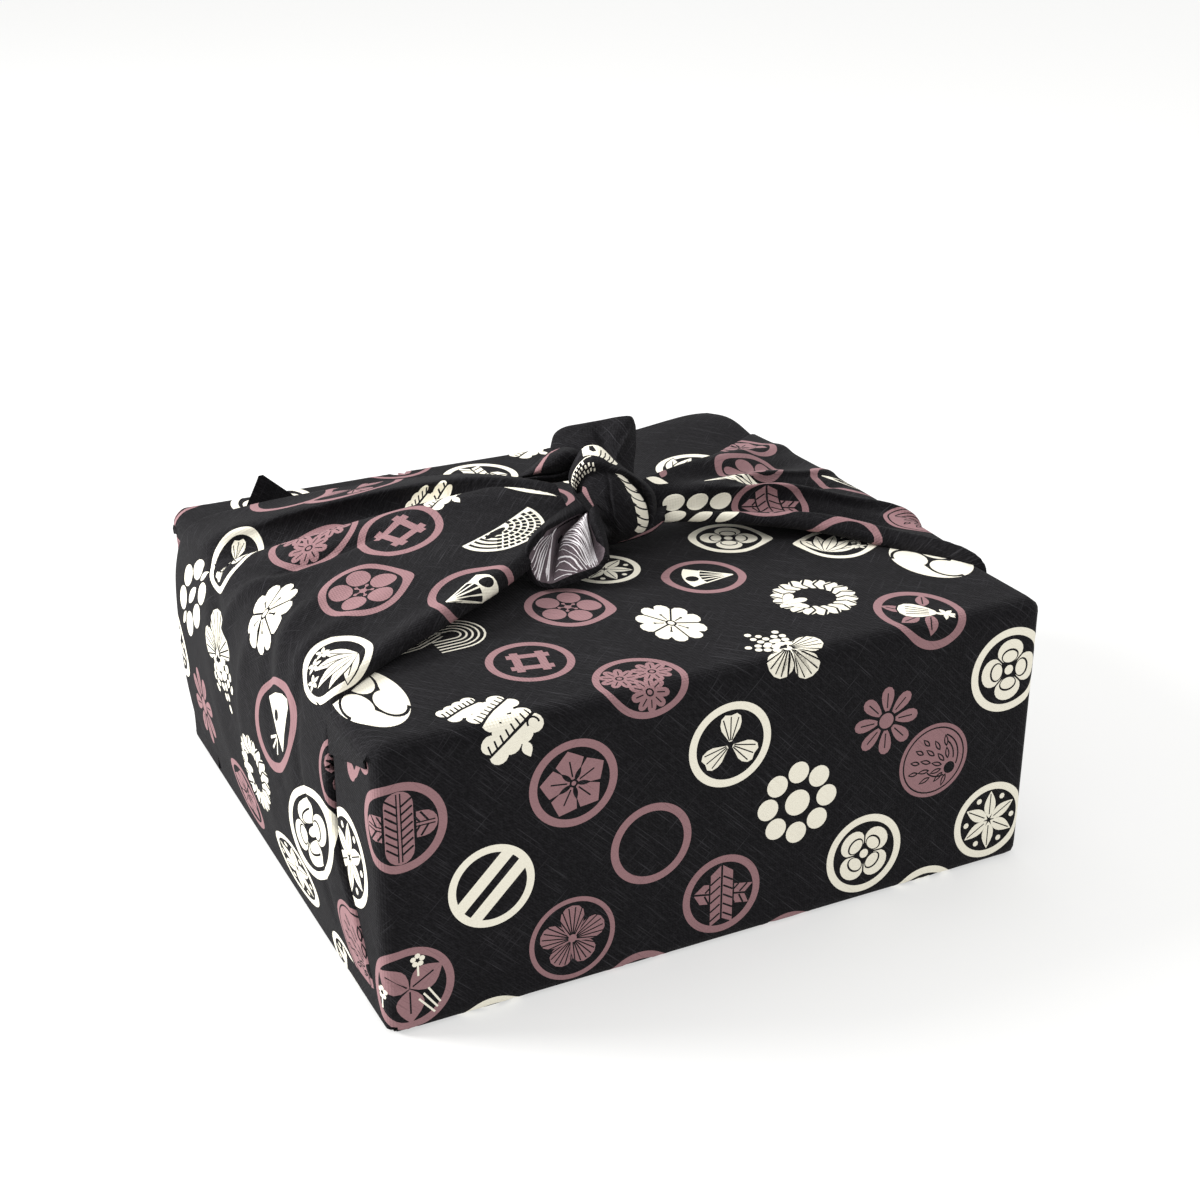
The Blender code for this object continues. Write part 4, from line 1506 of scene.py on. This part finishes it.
# %% Front tail
FRONT_TAIL = (
    ((-17, 0, 16), (-14, -3, 20), (-12, -5, 20), (-12, -5.2, 19), (-12, -5.4, 18),
     (-12, -5.6, 16), (-11.8, -5.4, 19), (-11.6, -5.4, 20), (-11.3, -5.4, 19),
     (-11.2, -5.5, 17), (-11.1, -5.4, 18), (-11, -5, 20), (-9.5, -3.5, 21), (-7.5, -2, 18)),
    ((-24, -6, 28), (-22, -8.5, 33), (-21, -10, 31), (-22.5, -11.2, 27), (-23.5, -12, 29),
     (-19, -12.5, 20), (-16.5, -10.8, 27), (-13.5, -9.5, 30), (-11.8, -9.5, 28),
     (-11.2, -11, 24), (-11, -11.5, 25), (-10.8, -10.5, 28), (-8.5, -9, 29), (-6, -8, 25)),
    ((-31, -12, 38), (-29.5, -13.5, 42), (-29, -15, 40), (-27.5, -16.5, 36), (-26.4, -16.5, 38),
     (-23.5, -18, 25), (-20.8, -15.8, 32), (-15.5, -15, 37), (-11.5, -16, 35),
     (-9.6, -18, 28), (-9.3, -18, 29), (-8.6, -16.5, 33), (-6.2, -14.5, 34), (-4, -14, 29)),
    ((-37, -19, 43), (-36, -20, 47), (-34.3, -22, 46), (-30.5, -23.5, 41), (-27.1, -22.5, 43),
     (-25, -24.5, 31), (-22.8, -22, 36), (-16, -22.5, 42), (-11.5, -23, 40), (-9, -23.5, 33),
     (-8, -24, 34), (-5.5, -21, 37), (-4.2, -19.5, 37), (-2.5, -20, 33)),
    ((-38.5, -27, 43), (-38, -28, 47.5), (-36, -30, 47), (-33, -36, 45), (-29, -37.3, 45),
     (-27, -37.5, 45), (-25, -37, 45), (-18, -33.8, 45), (-11, -31.5, 44), (-7.5, -30, 42),
     (-6, -28.5, 40), (-4.3, -26, 40), (-3, -24.5, 39), (-2, -25, 35)),
    ((-38.5, -31, 41), (-38.2, -32, 45), (-37.2, -34, 45.5), (-33.5, -37.8, 45),
     (-29.5, -39.3, 45), (-27, -39.7, 45.5), (-25, -39.5, 45.5), (-17, -37, 45),
     (-10, -34.3, 43.5), (-6, -31.8, 41), (-4, -29.5, 39), (-2.8, -27.5, 38.5),
     (-2.2, -26, 37), (-1.6, -26.5, 34)),
)


def front_tail_print(paint):
    """The reverse inside the hem, its pale lines, and a painted highlight along one pleat's crest."""
    opening = [(0.02, 5.0), (0.5, 2.0), (1.0, 2.0), (2.0, 2.0), (3.0, 2.0), (3.9, 2.05)]
    opening += [(4.0, column) for column in np.arange(2.5, 11, 0.5)]
    opening += [(3.9, 10.95), (3.0, 11.0), (2.0, 11.0), (1.0, 11.0), (0.5, 11.0)]
    motifs = [paint(REVERSE, opening)]
    for i in range(20):
        start = 0.3 + 0.185 * i
        columns = np.arange(5.8, 10.6, 0.3)
        rows = start + 0.3 * (columns - 6.2) ** 2 + 0.04 * np.sin(4 * columns + 2.1 * i)
        line = np.stack((rows, columns), 1)[rows < 3.98]
        if len(line) > 2:
            motifs.append(paint(PALE, line, 0.8 if i % 4 == 0 else 0.3 + 0.1 * (i % 3)))
    for i in range(6):
        rows = np.linspace(1.3 + 0.2 * i, 3.95, 9)
        columns = 4.0 - 0.27 * i - 0.3 * (rows - 1.3) + 0.05 * np.sin(5 * rows + i)
        line = np.stack((rows, columns), 1)[columns > 2.15]
        if len(line) > 2:
            motifs.append(paint(PALE, line, 0.4))
    # painted highlight: a pale line along the crest of the pleat between the left panel and the main one,
    # where the fold catches the light
    painted_crest_highlight = ((1.3, 4.0), (2.0, 4.0), (3.0, 4.0), (3.9, 4.3))
    return motifs + [paint(PALE, painted_crest_highlight, 0.7)]


add_patch("front_tail", FRONT_TAIL, (), front_tail_print, steps=60)

# %% Back tail
BACK_TAIL = (
    ((-29, 27, -32), (-27.5, 32, -33), (-23, 35.5, -33), (-15, 37, -33), (-6, 38.6, -33),
     (2, 40.2, -34), (7.5, 40.2, -34), (9.5, 37, -34)),
    ((-29.6, 27.5, -28), (-28, 32.8, -28), (-23.2, 36, -27), (-15, 37.6, -26), (-6, 39.2, -26),
     (2, 40.8, -27), (8, 41, -28), (10, 37.5, -30)),
    ((-29.5, 25, -26), (-27, 29, -24), (-22, 31.5, -22), (-14, 33, -21), (-7, 33.5, -22),
     (1, 34, -19), (7, 34, -22), (10.2, 33, -26)),
    ((-28, 22, -22), (-24.5, 24.5, -20), (-20, 26.5, -17), (-13, 28, -16), (-6, 28, -19),
     (0, 27, -14), (6, 26.5, -16), (10, 26, -20)),
    ((-21, 18, -14), (-18, 19.5, -13), (-14, 20.5, -11), (-9, 21, -10), (-4, 22, -13),
     (0, 19, -9), (5, 17.5, -10), (9, 16, -13)),
    ((-14, 13, -8), (-12, 13, -7), (-9, 13, -6), (-6, 13, -5), (-2, 13, -6), (2, 11, -5),
     (6, 9.5, -6), (9, 8, -8)),
)
BACK_TAIL_FOLDS = (
    (0.30, 1.10, 0.48, 0.58, 0.03, 1.8),
    (0.25, 1.10, 0.92, 0.64, 0.03, 1.8),
    (0.50, 1.10, 0.16, 0.30, 0.03, 1.0),
)
add_patch("back_tail", BACK_TAIL, BACK_TAIL_FOLDS, inside=REVERSE)

# %% Dog ear
EAR_BASE_LEFT = np.array((-125.0, 112, 120))
EAR_BASE_RIGHT = np.array((-90.0, 117, 121))
EAR_TIP = np.array((-112.0, 116, 140))
EAR_TIP_SHARE = 0.06
EAR_BOW = 2.0


def ear_rule(along, across):
    along, across = along[..., None], across[..., None]
    base = EAR_BASE_LEFT + (EAR_BASE_RIGHT - EAR_BASE_LEFT) * across
    narrow = EAR_TIP + (EAR_BASE_RIGHT - EAR_BASE_LEFT) * EAR_TIP_SHARE * (across - 0.5)
    bow = EAR_BOW * np.sin(math.pi * across) * (1 - along) * np.array((0, -1, 0))
    return base + (narrow - base) * along + bow


printed_sheet("ear", Cloth(ear_rule, 40, 60), even(0, 1, 0.1), even(0, 1, 0.1))

# %% [markdown]
# ## Studio
# A pale floor that runs out of sight, a large soft light from the upper left and a pale sky all
# round.

# %% Floor and lights
FLOOR_REACH = 6.0
FLOOR_DROP = 0.4 * MM  # keeps the floor off the cloth's underside
FLOOR_GLOW = 0.58
SKY_STRENGTH = 0.85
LIT_POINT = (0, 0, 0.05)


def add_floor():
    mesh = bpy.data.meshes.new("floor")
    shape = bmesh.new()
    bmesh.ops.create_grid(shape, x_segments=1, y_segments=1, size=FLOOR_REACH)
    shape.to_mesh(mesh)
    shape.free()
    floor = bpy.data.objects.new("floor", mesh)
    floor.location.z = -FLOOR_DROP
    bpy.context.scene.collection.objects.link(floor)
    material = bpy.data.materials.new("matt_paper")
    material.use_nodes = True
    shader = material.node_tree.nodes["Principled BSDF"]
    shader.inputs["Base Color"].default_value = linear("a8a8a7")
    shader.inputs["Roughness"].default_value = 0.9
    shader.inputs["Emission Color"].default_value = linear("fafaf9")
    shader.inputs["Emission Strength"].default_value = FLOOR_GLOW
    floor.data.materials.append(material)
    floor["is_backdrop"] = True


def add_light(name, place, size, power):
    data = bpy.data.lights.new(name, "AREA")
    data.shape = "DISK"
    data.size = size
    data.energy = power
    light = bpy.data.objects.new(name, data)
    light.location = place
    light.rotation_euler = (Vector(place) - Vector(LIT_POINT)).to_track_quat("Z", "Y").to_euler()
    bpy.context.scene.collection.objects.link(light)


add_floor()
add_light("window_left", (-1.7, 0.9, 1.1), size=0.8, power=60)
add_light("ceiling", (0.0, 0.6, 2.2), size=1.5, power=12)
world = bpy.data.worlds.new("studio")
world.use_nodes = True
sky = world.node_tree.nodes["Background"].inputs
sky["Color"].default_value = (1, 1, 1, 1)
sky["Strength"].default_value = SKY_STRENGTH
bpy.context.scene.world = world
bpy.context.scene.view_settings.view_transform = "Standard"

# %% Sizes of the solid and of the cloth
boxes = {"cad": cad_box, "visual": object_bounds()}
{name: [list(corner) for corner in box] for name, box in boxes.items()}
